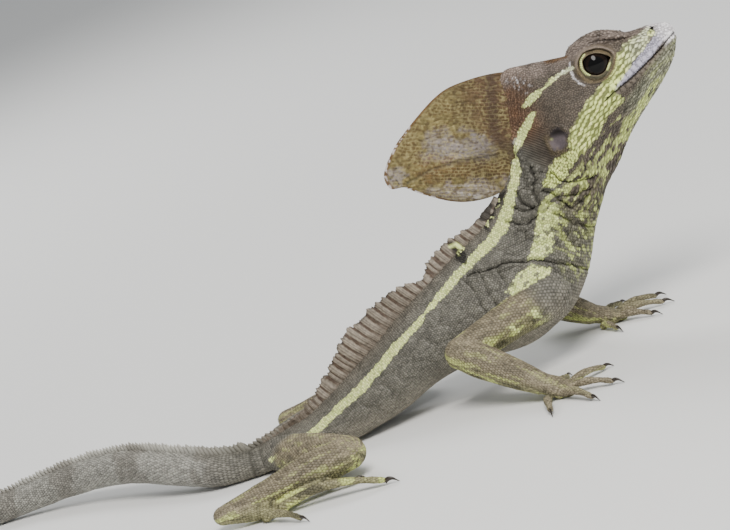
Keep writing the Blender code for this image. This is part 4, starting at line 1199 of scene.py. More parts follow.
def sculpt(p, n, on_body):
    """Moves the skin's points for folds, lips, nostrils, ears and casque. Works in millimetres."""
    x, h = side_view(p)
    side = on_body * smooth(abs(p[:, 1]), 0.6, 2.0)
    move = side * folds(p, x, h)[0]
    d = from_line(x, h, CASQUE_FOLD)[0]
    move += side * (x > 40.5) * (0.55 * hump(d, 1.1, 1.5) - 0.5 * hump(d, 0.45))
    rows = inside(x, h, CASQUE_ZONE, 1.0) * smooth(d, 1.0, 2.0)
    move += side * rows * 0.09 * np.sin(d * 2 * math.pi / 0.8 + 2 * noise(p, 3.0, 54))
    move += side * 0.13 * ridges(p, x, h)
    # Brow: a groove under the ridge that runs on to the nostril.
    d, near, above = brow_groove(p, x, h)
    move += side * near * (0.25 * above * hump(d, 0.4, 0.8) - 0.38 * hump(d, 0.3))
    # Mouth: a narrow groove between two soft lips.
    d = from_line(x, h, MOUTH)[0]
    groove = -0.5 * hump(d, 0.2) + 0.2 * hump(d, 0.5, 0.9)
    move += on_body * (abs(p[:, 1]) > 0.5) * groove
    # Ear: an oval cup, deepest at its top, with a soft rim.
    e = ear_reach(x, h) + 0.12 * (noise(p, 1.3, 53) - 0.5)
    cup = fade(e, 0.6, 1.05) * (0.75 + 0.5 * smooth(h - EAR[1], -2.0, 2.0))
    move += side * (-1.05 * cup + 0.3 * hump(e, 0.14, 1.22))
    # Nostril: a small pit in a raised ring.
    d = np.hypot(x - NOSTRIL[0], h - NOSTRIL[1])
    move += side * (-0.75 * hump(d, 0.42) + 0.22 * hump(d, 0.35, 0.95))
    # Slow unevenness of a living body.
    move += on_body * 0.35 * (noise(p, 5.0, 51) - 0.5) * fade(x, 60, 70)
    move += (1 - on_body) * 0.22 * (noise(p, 3.0, 52) - 0.5)
    return p + n * move[:, None]


def sink_sockets(p, on_body):
    """Sinks the skin under the lids, so that only lids and eyeball show there."""
    reach, angle = eye_polar(*side_view(p))
    share = reach / round_table(angle, LID_REACH)
    head = on_body * (p[:, 0] > 58) * (p[:, 2] > 58) * smooth(abs(p[:, 1]), 2.5, 4.5)
    out = p.copy()
    out[:, 1] -= np.sign(p[:, 1]) * 2.6 * head * fade(share, 0.7, 0.92)
    return out


def make_skin():
    """One skin over all the flesh: lofts joined, remeshed evenly, refined on the head and sculpted."""
    points, faces, owners = [], [], []
    for kind, part_points, part_faces in flesh():
        base = sum(len(q) for q in points)
        points.append(part_points)
        faces += [tuple(base + i for i in f) for f in part_faces]
        owners += [kind] * len(part_faces)
    whole = np.concatenate(points)
    mesh = bpy.data.meshes.new("flesh")
    mesh.from_pydata(whole.tolist(), [], faces)
    turn_outwards(mesh)
    lofts = bpy.data.objects.new("flesh", mesh)
    bpy.context.scene.collection.objects.link(lofts)
    even = lofts.modifiers.new("even", "REMESH")
    even.mode = "VOXEL"
    even.voxel_size = settings().sizes.grain
    soft = lofts.modifiers.new("soft", "SMOOTH")
    soft.factor = 0.5
    soft.iterations = 3
    bpy.context.view_layer.update()
    skin = bpy.data.meshes.new_from_object(lofts.evaluated_get(bpy.context.evaluated_depsgraph_get()))
    bpy.data.objects.remove(lofts, do_unlink=True)
    refine_head(skin)
    p, n = vectors(skin.vertices, "co"), vectors(skin.vertex_normals, "vector")
    tree = BVHTree.FromPolygons(whole.tolist(), faces)
    kinds = np.array([owners[tree.find_nearest(q)[2]] for q in p.tolist()])
    on_body = (kinds == "body").astype(float)
    p = sculpt(p, n, on_body)
    p[:, 2] = np.maximum(p[:, 2], 0.03)
    skin.calc_loop_triangles()
    triangles, loops = (np.empty(len(skin.loop_triangles) * 3, np.int32) for _ in range(2))
    skin.loop_triangles.foreach_get("vertices", triangles)
    skin.loop_triangles.foreach_get("loops", loops)
    KEPT["whole head"] = BVHTree.FromPolygons(p.tolist(), triangles.reshape(-1, 3).tolist())
    p = sink_sockets(p, on_body)
    skin.vertices.foreach_set("co", p.ravel())
    skin.update()
    n = vectors(skin.vertex_normals, "vector")
    paint = np.zeros((len(p), 3))
    for kind, painter in PAINTERS.items():
        mine = kinds == kind
        paint[mine] = painter(p[mine])
    x, h = side_view(p)
    # Painted shade between the scales: deeper in the jaw band, less on the bare ridged skin before the ear,
    # and none in the ear.
    shade_on = SHADE_BETWEEN_SCALES + (1 - SHADE_BETWEEN_SCALES) * (0.4 + 0.6 * (ear_reach(x, h) < 1.2)) * bare(x, h) * on_body
    shade_on -= 0.3 * inside(x, h, JAW_PATCH, 0.5) * on_body
    add_paint(skin, paint * shade_on[:, None])
    unwrap(skin)
    corners = np.empty(len(skin.loops) * 2, np.float32)
    skin.uv_layers["OFBake"].data.foreach_get("uv", corners)
    corners = corners.reshape(-1, 2)[loops].reshape(-1, 3, 2)
    KEPT["surface"] = Surface(p, n, triangles.reshape(-1, 3), corners, kinds)
    skin.vertices.foreach_set("co", place(p).ravel())
    skin.shade_smooth()
    nodes = [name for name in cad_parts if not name.startswith(("eye", "head_crest", "back_crest"))]
    add_piece("skin", skin, skin_material(), "skin", *nodes)


def turn_outwards(mesh):
    """Turns every face of a closed mesh outwards."""
    body = bmesh.new()
    body.from_mesh(mesh)
    bmesh.ops.recalc_face_normals(body, faces=body.faces)
    body.to_mesh(mesh)
    body.free()


def vectors(items, key):
    """A mesh's own vectors as rows."""
    out = np.empty(len(items) * 3)
    items.foreach_get(key, out)
    return out.reshape(-1, 3)


def refine_head(mesh):
    """Splits the head's faces in four."""
    body = bmesh.new()
    body.from_mesh(mesh)
    edges = [e for e in body.edges if all(v.co.x > 39.5 and v.co.z > 36.0 for v in e.verts)]
    bmesh.ops.subdivide_edges(body, edges=edges, cuts=1, use_grid_fill=True, smooth=0.0)
    body.to_mesh(mesh)
    body.free()


def unwrap(mesh):
    """Unwraps the skin by its own shape into the map for baking."""
    holder = bpy.data.objects.new("holder", mesh)
    bpy.context.scene.collection.objects.link(holder)
    mesh.uv_layers.new(name="OFBake")
    bpy.context.view_layer.objects.active = holder
    holder.select_set(True)
    bpy.ops.object.mode_set(mode="EDIT")
    bpy.ops.mesh.select_all(action="SELECT")
    bpy.ops.uv.smart_project(angle_limit=math.radians(66), island_margin=0.001)
    bpy.ops.object.mode_set(mode="OBJECT")
    bpy.data.objects.remove(holder, do_unlink=True)


# The coat of scales.

# One scale, in shares of its length, width and rise: front, both sides, tip, keel, then three sunk corners.
SCALE_POINTS = np.array(
    [
        (-0.55, 0.0, -0.15), (0.02, -0.54, 0.35), (0.02, 0.54, 0.35), (0.62, 0.0, 0.85), (0.06, 0.0, 1.0),
        (0.02, -0.52, -0.7), (0.02, 0.52, -0.7), (0.54, 0.0, -0.7),
    ]
)
SCALE_FACES = np.array(
    [(0, 4, 1), (0, 2, 4), (1, 4, 3), (4, 2, 3), (1, 3, 7), (1, 7, 5), (3, 2, 6), (3, 6, 7)]
)
# Painted light and shade at each corner of a scale: painted shade at the front and in the sunk corners, a
# painted highlight on the keel and tip.
SCALE_LIGHT_AND_SHADE = np.array([0.5, 0.72, 0.72, 1.14, 1.2, 0.36, 0.36, 0.36])
# Rows of scales: the first and last ring of the loft, and how many scales go round.
TRUNK_ROWS, NECK_ROWS = (0, 60, 126), (60, 109, 104)
# The tail's rows the same way, with their spacing as a share of the user's.
TAIL_ROWS = (
    (0.2, 51, 40, 1.0), (51, 81, 30, 0.92), (81, 106, 22, 0.85), (106, 126, 15, 0.85), (126, 140, 10, 0.85),
)
# Where the trunk's coat ends and the tail's starts, a little over each other.
TRUNK_END, TAIL_START = -41.0, -40.4
# Size of one scale on the map for baking.
PATCH = 0.003
# Spacing of the rows of scales on hands, feet and digits.
PAW_SCALE = 0.66


def lay_scales(name, at, back, normal, length, width, rise, paint, patch, seed, stray=0.06):
    """A coat of keeled scales at these roots, pointing back along the body, as one mesh."""
    rng = np.random.default_rng(seed)
    normal = units(normal)
    back = back - normal * (back * normal).sum(1)[:, None]
    back /= np.linalg.norm(back, axis=1)[:, None] + 1e-9
    turn = rng.normal(0, stray, len(at))[:, None]
    side = np.cross(normal, back)
    back, side = back * np.cos(turn) + side * np.sin(turn), side * np.cos(turn) - back * np.sin(turn)
    length = length * rng.uniform(0.92, 1.08, len(at))
    rise = rise * rng.uniform(0.8, 1.2, len(at))
    form = SCALE_POINTS
    points = (
        at[:, None, :]
        + back[:, None, :] * (form[:, 0] * length[:, None])[:, :, None]
        + side[:, None, :] * (form[:, 1] * width[:, None])[:, :, None]
        + normal[:, None, :] * (form[:, 2] * rise[:, None])[:, :, None]
    ).reshape(-1, 3)
    points[:, 2] = np.maximum(points[:, 2], 0.0)
    count = len(form)
    faces = (SCALE_FACES[None] + np.arange(len(at))[:, None, None] * count).reshape(-1, 3)
    tone = paint * rng.uniform(0.72, 1.24, len(at))[:, None]
    # Painted shade and highlight laid on each scale by its corners.
    tone = (tone[:, None, :] * SCALE_LIGHT_AND_SHADE[None, :, None]).reshape(-1, 3)
    spots = (patch[:, None, :] + form[None, :, :2] * PATCH * 0.5).reshape(-1, 2)
    make_piece(name, points, faces, tone, spots, scale_material(), "skin")


def grid_at(rings, u, v):
    """A place on a lofted surface, u in rings and v in sides, with v running round."""
    rows, count = rings.shape[:2]
    u = np.clip(u, 0, rows - 1.001)
    i, j = u.astype(int), np.floor(v).astype(int)
    fu, fv = (u - i)[:, None], (v - j)[:, None]
    j0, j1 = j % count, (j + 1) % count
    near = rings[i, j0] * (1 - fv) + rings[i, j1] * fv
    far = rings[i + 1, j0] * (1 - fv) + rings[i + 1, j1] * fv
    return near * (1 - fu) + far * fu


def rows_on(rings, first, last, spacing, around, forward):
    """Staggered rows of roots on a loft between two rings: places, directions and the room each has."""
    middle = rings.mean(1)
    sides = rings.shape[1]
    travelled = np.concatenate([[0], np.cumsum(np.linalg.norm(np.diff(rings, axis=0), axis=2).mean(1))])
    start, stop = np.interp([first, last], np.arange(len(middle)), travelled)
    rows = max(2, int((stop - start) / spacing))
    u_rows = np.interp(np.linspace(start, stop, rows), travelled, np.arange(len(middle)))
    u = np.repeat(u_rows, around)
    stagger = np.repeat((np.arange(rows) % 2) * 0.5 * sides / around, around)
    v = np.tile(np.arange(around) / around * sides, rows) + stagger
    gap = np.interp(u, np.arange(len(middle) - 1) + 0.5, np.diff(travelled))
    step = (stop - start) / rows / 2 / np.maximum(gap, 1e-3)
    ahead = grid_at(rings, u + step, v) - grid_at(rings, u - step, v)
    across = grid_at(rings, u, v + 0.5 * sides / around) - grid_at(rings, u, v - 0.5 * sides / around)
    room = np.linalg.norm(ahead, axis=1)
    return grid_at(rings, u, v), ahead * forward, room, np.linalg.norm(across, axis=1)


def clothe(name, kinds, sets, seed, rise, reach=0.75, skip=None):
    """Lays the rows of roots on the skin, leaving out those buried under another part."""
    surface = KEPT["surface"]
    spots, back, room, across = (np.concatenate(c) for c in zip(*sets))
    spots = spots + np.random.default_rng(seed + 50).normal(0, 0.05, spots.shape)
    at, normal, owner, patch = surface.nearest(spots)
    keep = (np.linalg.norm(at - spots, axis=1) < reach) & np.isin(owner, kinds)
    if skip is not None:
        keep &= ~skip(at)
    at, normal, patch, back, room, across = (a[keep] for a in (at, normal, patch, back, room, across))
    paint = PAINTERS[kinds[0]](at)
    height = np.minimum(room, across) * rise
    lay_scales(name, at, back, normal, room * 1.32, across * 1.1, height, paint, patch, seed)


def head_size(p):
    """How far apart the head's scales stand at points, and how long they are for their width."""
    x, h = side_view(p)
    base = settings().sizes.head_scale
    size = np.full(len(p), base)
    jaw = inside(x, h, JAW_PATCH, 0.6)
    long_jaw = jaw * smooth(x, 55, 59) * fade(x, 79, 84)
    under = below_jaw(x, h, -3.0, 0.0)
    size += 0.36 * long_jaw + 0.12 * (jaw - long_jaw) + 0.24 * under * (1 - jaw)
    size += 0.22 * smooth(p[:, 2], 67.5, 69.0) * smooth(x, 60, 66)
    size += 0.16 * smooth(x, 80, 85)
    stretch = 1.0 + 0.75 * long_jaw + 0.55 * under * (1 - jaw)
    return size, stretch


def head_side(p):
    """Which points lie before the line where the neck's rows end and the head's scales begin."""
    return p[:, 0] + 0.45 * (p[:, 2] - 44.0) > 50.5


def scatter_head():
    """Roots all over the head, never nearer together than the scales there allow."""
    surface = KEPT["surface"]
    p = surface.points
    x, h = side_view(p)
    on_head = (surface.owners == "body") & head_side(p) & (p[:, 2] > 28.0)
    groove = from_line(x, h, MOUTH)[0] < 0.3
    nostril = np.hypot(x - NOSTRIL[0], h - NOSTRIL[1]) < 0.6
    free = np.flatnonzero(on_head & ~groove & ~on_lids(p, 0.25) & (bare(x, h) < 0.5) & ~nostril)
    rng = np.random.default_rng(7)
    rng.shuffle(free)
    size, stretch = head_size(p[free])
    grid, chosen = {}, []
    keys = np.floor(p[free] / 1.1).astype(int).tolist()
    around = list(itertools.product((-1, 0, 1), repeat=3))
    room = (size * 0.86 * np.sqrt(stretch)).tolist()
    for k, (q, key, near) in enumerate(zip(p[free].tolist(), keys, room)):
        taken = any(
            (q[0] - r[0]) ** 2 + (q[1] - r[1]) ** 2 + (q[2] - r[2]) ** 2 < near * near
            for a, b, c in around
            for r in grid.get((key[0] + a, key[1] + b, key[2] + c), ())
        )
        if not taken:
            grid.setdefault(tuple(key), []).append(q)
            chosen.append(k)
    return free[chosen], size[chosen], stretch[chosen]


def make_head_scales():
    """The head's scales, scattered, and longer along the jaw and under the chin."""
    surface = KEPT["surface"]
    index, size, stretch = scatter_head()
    at, normal = surface.points[index], surface.normals[index]
    rings = body_rings(*BODY_GRID)
    middle = rings.reshape(-1, 3)
    tree = BVHTree.FromPolygons(middle.tolist(), loft(rings)[1][: (len(rings) - 1) * rings.shape[1]])
    ahead = np.gradient(rings, axis=0).reshape(-1, 3)
    near = np.array([tree.find_nearest(q)[2] for q in at.tolist()])
    back = -ahead[near]
    x, h = side_view(at)
    along = np.tile(np.array([-0.83, 0.0, -0.56]), (len(at), 1))
    jaw = (inside(x, h, JAW_PATCH, 0.8) * smooth(x, 55, 60))[:, None]
    back = units(back) * (1 - jaw) + along * jaw
    _, _, _, patch = surface.nearest(at)
    rise = size * settings().sizes.scale_rise * np.where(stretch > 1.2, 1.1, 0.75)
    width = size * (1.12 - 0.16 * (stretch > 1.3))
    length = size * 1.25 * stretch
    lay_scales("head_scales", at, back, normal, length, width, rise, body_paint(at), patch, 3, 0.17)


def make_body_scales():
    """The trunk's and the neck's rows of small keeled scales."""
    sizes = settings().sizes
    rings = body_rings(*BODY_GRID)

    def not_trunk(q):
        """Which places the trunk's rows leave to the tail."""
        return q[:, 0] < TRUNK_END

    def not_neck(q):
        """Which places the neck's rows leave to the head."""
        return head_side(q) | (bare(*side_view(q)) > 0.5)

    for name, (first, last, around), seed, skip in (
        ("trunk_scales", TRUNK_ROWS, 4, not_trunk),
        ("neck_scales", NECK_ROWS, 9, not_neck),
    ):
        sets = [rows_on(rings, first, last, sizes.body_scale, around, -1.0)]
        clothe(name, ("body",), sets, seed, sizes.scale_rise, 1.2, skip)


def make_tail_scales():
    """The tail's rows of keeled scales, from the rump on."""
    sizes = settings().sizes
    rings = rump_and_tail()
    sets = []
    for first, last, around, gap in TAIL_ROWS:
        sets.append(rows_on(rings, first, last, sizes.tail_scale * gap, around, 1.0))

    def not_tail(q):
        """Which places the tail's rows leave to the trunk."""
        return q[:, 0] > TAIL_START

    clothe("tail_scales", ("tail", "body", "limb"), sets, 5, sizes.scale_rise, 1.1, not_tail)


def make_limb_scales():
    """The rows of scales on arms, legs, hands, feet and digits."""
    sizes = settings().sizes
    for group, names in (("arm_scales", ("upper_arm", "forearm")), ("leg_scales", ("thigh", "shank"))):
        sets = []
        for name, start, end, swell in limb_lengths():
            if name.startswith(names):
                rings = segment_rings(start, end, swell, 32, 5)
                sets.append(rows_on(rings, 0.5, len(rings) - 1.5, sizes.limb_scale, 38, 1.0))
        clothe(group, ("limb",), sets, 6, sizes.scale_rise)
    sets = []
    for name, wrist, end, palm, digits in paws():
        rings = palm_rings(name, wrist, end, palm, 28, 4)
        sets.append(rows_on(rings, 0.5, len(rings) - 1.5, PAW_SCALE, 24, 1.0))
        for root, heading, reach, thick in digits:
            rings = digit_rings(root, heading, reach, thick * SKIN_OVER)
            sets.append(rows_on(rings, 2.0, 22.0, PAW_SCALE, 8, 1.0))
    clothe("paw_scales", ("limb",), sets, 8, sizes.scale_rise * 0.9, 0.5)


# Plates of the lips and snout, and the lids.


def plate_patches(rows, rise, sign, grid=7):
    """Raised plates on the head's side, each from four corners in the side view, as arrays."""
    surface, whole = KEPT["surface"], KEPT["whole head"]
    points, faces, patches, shades = [], [], [], []
    for corners in rows:
        corners = np.array(corners, float)
        hits = []
        for a in np.linspace(0, 1, grid):
            for b in np.linspace(0, 1, grid):
                near, far = corners[0] * (1 - a) + corners[1] * a, corners[3] * (1 - a) + corners[2] * a
                x, h = near * (1 - b) + far * b
                hit = seen_on(whole, x, h, sign)
                if hit is not None and hit[0][1] * sign > 0.3:
                    dome = (1 - abs(2 * a - 1) ** 3) * (1 - abs(2 * b - 1) ** 3)
                    hits.append((*hit, dome))
        if len(hits) < grid * grid:
            continue
        base = len(points)
        middle = np.mean([q for q, _, _ in hits], axis=0)
        normal = np.mean([m for _, m, _ in hits], axis=0)
        normal /= np.linalg.norm(normal)
        patch = surface.nearest(middle[None])[3][0]
        for q, _, dome in hits:
            points.append(q + normal * (rise * dome**0.6 - 0.12))
            # Painted shade at each plate's edges, and painted light on its dome.
            shades.append(0.5 + 0.6 * dome**0.4)
            patches.append(patch + (q[[0, 2]] - middle[[0, 2]]) * 0.001)
        for i in range(grid - 1):
            for j in range(grid - 1):
                a = base + i * grid + j
                b, c, d = a + 1, a + grid + 1, a + grid
                faces += ((a, b, c), (a, c, d)) if sign < 0 else ((a, c, b), (a, d, c))
    return points, faces, patches, shades


# Plates of the upper and the lower lip: how many, and how far from the mouth's line they begin and end.
LIP_PLATES = ((12, 0.2, 2.35), (13, -0.2, -1.6))


def lip_rows():
    """Corners of the plates along both lips, in the side view, from the mouth's corner to the snout."""
    line = resample(MOUTH, 61)
    rows = []
    for count, low, high in LIP_PLATES:
        cuts = np.linspace(7, 60, count + 1)
        for first, last in zip(cuts, cuts[1:]):
            start, end = read_off(np.array([first + 0.3, last - 0.3]), np.arange(61), line)
            run = end - start
            out = np.array([-run[1], run[0]]) / np.linalg.norm(run)
            tall = 0.55 + 0.45 * math.sin(math.pi * min(1.0, 0.25 + 0.85 * (first + last) / 120))
            foot, top = out * low, out * high * tall
            rows.append((start + foot, end + foot, end + top, start + top))
    return rows


def ball_depth(x, h):
    """How far out the eyeball lies under places in the side view, or 0 beside it."""
    y = np.full(len(x), EYE_Y + 3.0)
    for _ in range(5):
        at = at_depth(x, h, y, 1)
        room = EYE_RADIUS**2 - (at[:, 0] - EYE[0]) ** 2 - (at[:, 2] - EYE[1]) ** 2
        y = EYE_Y + np.sqrt(np.maximum(room, 0))
    return np.where(room > 0, y, 0)


def make_lips():
    """The row of large plates along each lip."""
    points, faces, patches, shades = [], [], [], []
    for sign in (-1, 1):
        p, f, u, s = plate_patches(lip_rows(), 0.34, sign)
        base = len(points)
        points += p
        faces += [tuple(base + i for i in face) for face in f]
        patches += u
        shades += s
    points = np.array(points)
    # The plates' painted shade and light laid on their paint.
    tone = body_paint(points) * np.array(shades)[:, None]
    make_piece("lip_plates", points, faces, tone, patches, scale_material(), "skin")


def make_lids(around=208, across=46):
    """The lids: rings of folded, finely grained skin from the eye's opening out to the skin of the head."""
    surface, whole = KEPT["surface"], KEPT["whole head"]
    angle = np.tile(np.arange(around) * 360 / around, across)
    t = np.repeat(np.linspace(0, 1, across), around)
    opening, crease, end = (round_table(angle, table) for table in (OPENING, LID_CREASE, LID_REACH))
    r = opening + (end - opening) * t
    turn = np.radians(angle)
    crease = crease + 0.12 * np.sin(turn * 3 + 1.0) + 0.06 * np.sin(turn * 7)
    middle = eye_seen()
    x, h = middle[0] + r * np.cos(turn), middle[1] + r * np.sin(turn)
    upper = smooth(np.sin(turn), -0.1, 0.35)
    border, tag = cells(x, h, 0.38, 5)
    beads = hump(r, 0.3, round_table(angle, BEADS)) * smooth(angle, 110, 122) * fade(angle, 214, 228)
    roll = 0.3 * hump(r - opening, 0.3, 0.38) - (0.2 + 0.24 * upper) * hump(r, 0.2, crease)
    roll += (0.1 + 0.28 * upper) * hump(r - crease, 0.32, 0.62)
    radial = 0.5 + 0.5 * np.cos(turn * 46 + 1.2 * noise(np.stack([x, h, x * 0], 1), 1.2, 62))
    roll += 0.1 * smooth(border, 0.0, 0.4) + beads * (0.04 + 0.14 * radial)
    blend = smooth(t, 0.5, 1.0)
    lid_y = np.maximum(ball_depth(x, h) + 0.24, 8.55 - 0.16 * (r - 2.8))
    for sign, side in ((-1, "right"), (1, "left")):
        hits = [seen_on(whole, a, b, sign) for a, b in zip(x.tolist(), h.tolist())]
        skin_y = np.array([abs(hit[0][1]) if hit else 7.0 for hit in hits])
        y = lid_y * (1 - blend) + (skin_y - 0.08) * blend + roll * (1 - 0.75 * blend) - 0.5 * (t == 0)
        points = at_depth(x, h, y, sign)
        j, k = np.meshgrid(np.arange(around), np.arange(across - 1))
        a, b = (k * around + j).ravel(), (k * around + (j + 1) % around).ravel()
        c, d = b + around, a + around
        order = ((a, c, b), (a, d, c)) if sign < 0 else ((a, b, c), (a, c, d))
        faces = np.concatenate([np.stack(tri, 1) for tri in order])
        fine = noise(points, 0.35, 61)
        # Painted shade at the borders of the lids' raised granules, with a random tone for each.
        grey = 0.72 + 0.5 * smooth(border, 0.0, 0.5) + 0.2 * tag
        tone = np.tile(colour("lid"), (len(points), 1)) * grey[:, None]
        lower = (1 - upper) * hump(r - opening, 0.4, 0.6)
        tone = lay(tone, "chin", lower * 0.75, 0.38)
        fold = upper * hump(r - crease, 0.35, 0.62)
        tone = lay(tone, "crown", fold * 0.8)
        cream = hump(r - opening, 0.26, 0.38) * smooth(angle, 306, 316) * fade(angle, 342, 352)
        tone = lay(tone, "stripe", cream * 0.9)
        tone = lay(tone, "stripe", smooth(beads, 0.25, 0.6) * (0.45 + 0.5 * radial), 0.95)
        outer = np.maximum(smooth(r - crease, 0.75, 1.35), smooth(t, 0.75, 1.0))[:, None]
        # Painted shade at the granules' borders on the lids' outer skin.
        mottle = (0.62 + 0.5 * smooth(border, 0.0, 0.5))[:, None]
        tone = tone * (1 - outer) + body_paint(points) * outer * mottle
        # Painted shade in the lids' crease, deepest over the upper lid.
        tone = lay(tone, "dark", hump(r, 0.18, crease) * (0.35 + 0.5 * upper))
        tone = lay(tone, "dark", fade(t, 0.0, 0.05), 0.6)
        patches = surface.nearest(points)[3]
        shaded = tone * (0.85 + 0.3 * fine)[:, None]
        make_piece(f"lids_{side}", points, faces, shaded, patches, scale_material(), "skin")
        grid = points.reshape(across, around, 3)
        outwards = np.gradient(grid, axis=0)
        round_eye = (np.roll(grid, -1, axis=1) - np.roll(grid, 1, axis=1)) / 2
        normal = np.cross(outwards, round_eye).reshape(-1, 3)
        normal *= np.sign(normal[:, 1] * sign)[:, None]
        row, column = np.repeat(np.arange(across), around), np.tile(np.arange(around), across)
        pick = (row % 6 == 3) & ((column + 2 * (row // 6 % 2)) % 4 == 0) & (row < across - 2)
        pick &= (r > opening + 0.25) & (abs(r - crease) > 0.16)
        size = np.where(r > crease, 0.46, 0.38)[pick]
        lay_scales(
            f"lid_scales_{side}", points[pick], outwards.reshape(-1, 3)[pick], normal[pick], size * 1.1, size,
            size * 0.16, (tone * (0.9 + 0.2 * fine)[:, None])[pick], patches[pick], 21,
        )


# The crests.


def plate_grid(middle, half, side):
    """Points and triangles of a thin blade from a grid of midline points, half thicknesses and a side."""
    rows, columns = half.shape
    sheets = [middle + side * (sign * half)[:, :, None] for sign in (-1, 1)]
    points = np.concatenate([s.reshape(-1, 3) for s in sheets])
    count = rows * columns
    i, j = np.meshgrid(np.arange(rows - 1), np.arange(columns - 1), indexing="ij")
    a = (i * columns + j).ravel()
    b, c, d = a + 1, a + columns + 1, a + columns
    left = [np.stack(tri, 1) for tri in ((a, b, c), (a, c, d))]
    right = [np.stack(tri, 1) + count for tri in ((a, c, b), (a, d, c))]
    faces = np.concatenate(left + right)
    edge = list(range(columns)) + [i * columns + columns - 1 for i in range(1, rows)]
    edge += [(rows - 1) * columns + j for j in range(columns - 2, -1, -1)]
    edge += [i * columns for i in range(rows - 2, 0, -1)]
    rim = []
    for p, q in zip(edge, edge[1:] + edge[:1]):
        rim += [(p, p + count, q + count), (p, q + count, q)]
    return points, np.concatenate([faces, rim])


def flat_unwrap(points):
    """A place for each point on a plane, one side beside the other."""
    left = points[:, 1] > np.median(points[:, 1])
    low, high = points.min(0), points.max(0)
    u = (points[:, 0] - low[0]) / (high[0] - low[0]) * 0.47 + np.where(left, 0.51, 0.01)
    v = (points[:, 2] - low[2]) / (high[2] - low[2]) * 0.96 + 0.02
    return np.stack([u, v], 1)


def bricks(x, h, tall=0.85, long=1.15):
    """Small scales in rows like bricks, level with the photograph: distance from a border, and a number."""
    at = np.stack([x, h * 0, h], 1)
    u = ROLL_COS * x - ROLL_SIN * h + 1.3 * (noise(at, 1.7, 76) - 0.5)
    v = ROLL_SIN * x + ROLL_COS * h + 1.6 * (noise(at, 2.6, 77) - 0.5)
    row = np.floor(v / tall)
    column = u / long + 0.5 * (row % 2) + 0.37 * np.sin(row * 12.9)
    a, b = column - np.floor(column), v / tall - row
    border = np.minimum(np.minimum(a, 1 - a) * long, np.minimum(b, 1 - b) * tall)
    tag = np.sin((np.floor(column) * 127.1 + row * 311.7) * 0.731) * 4375.85
    return border, tag - np.floor(tag)


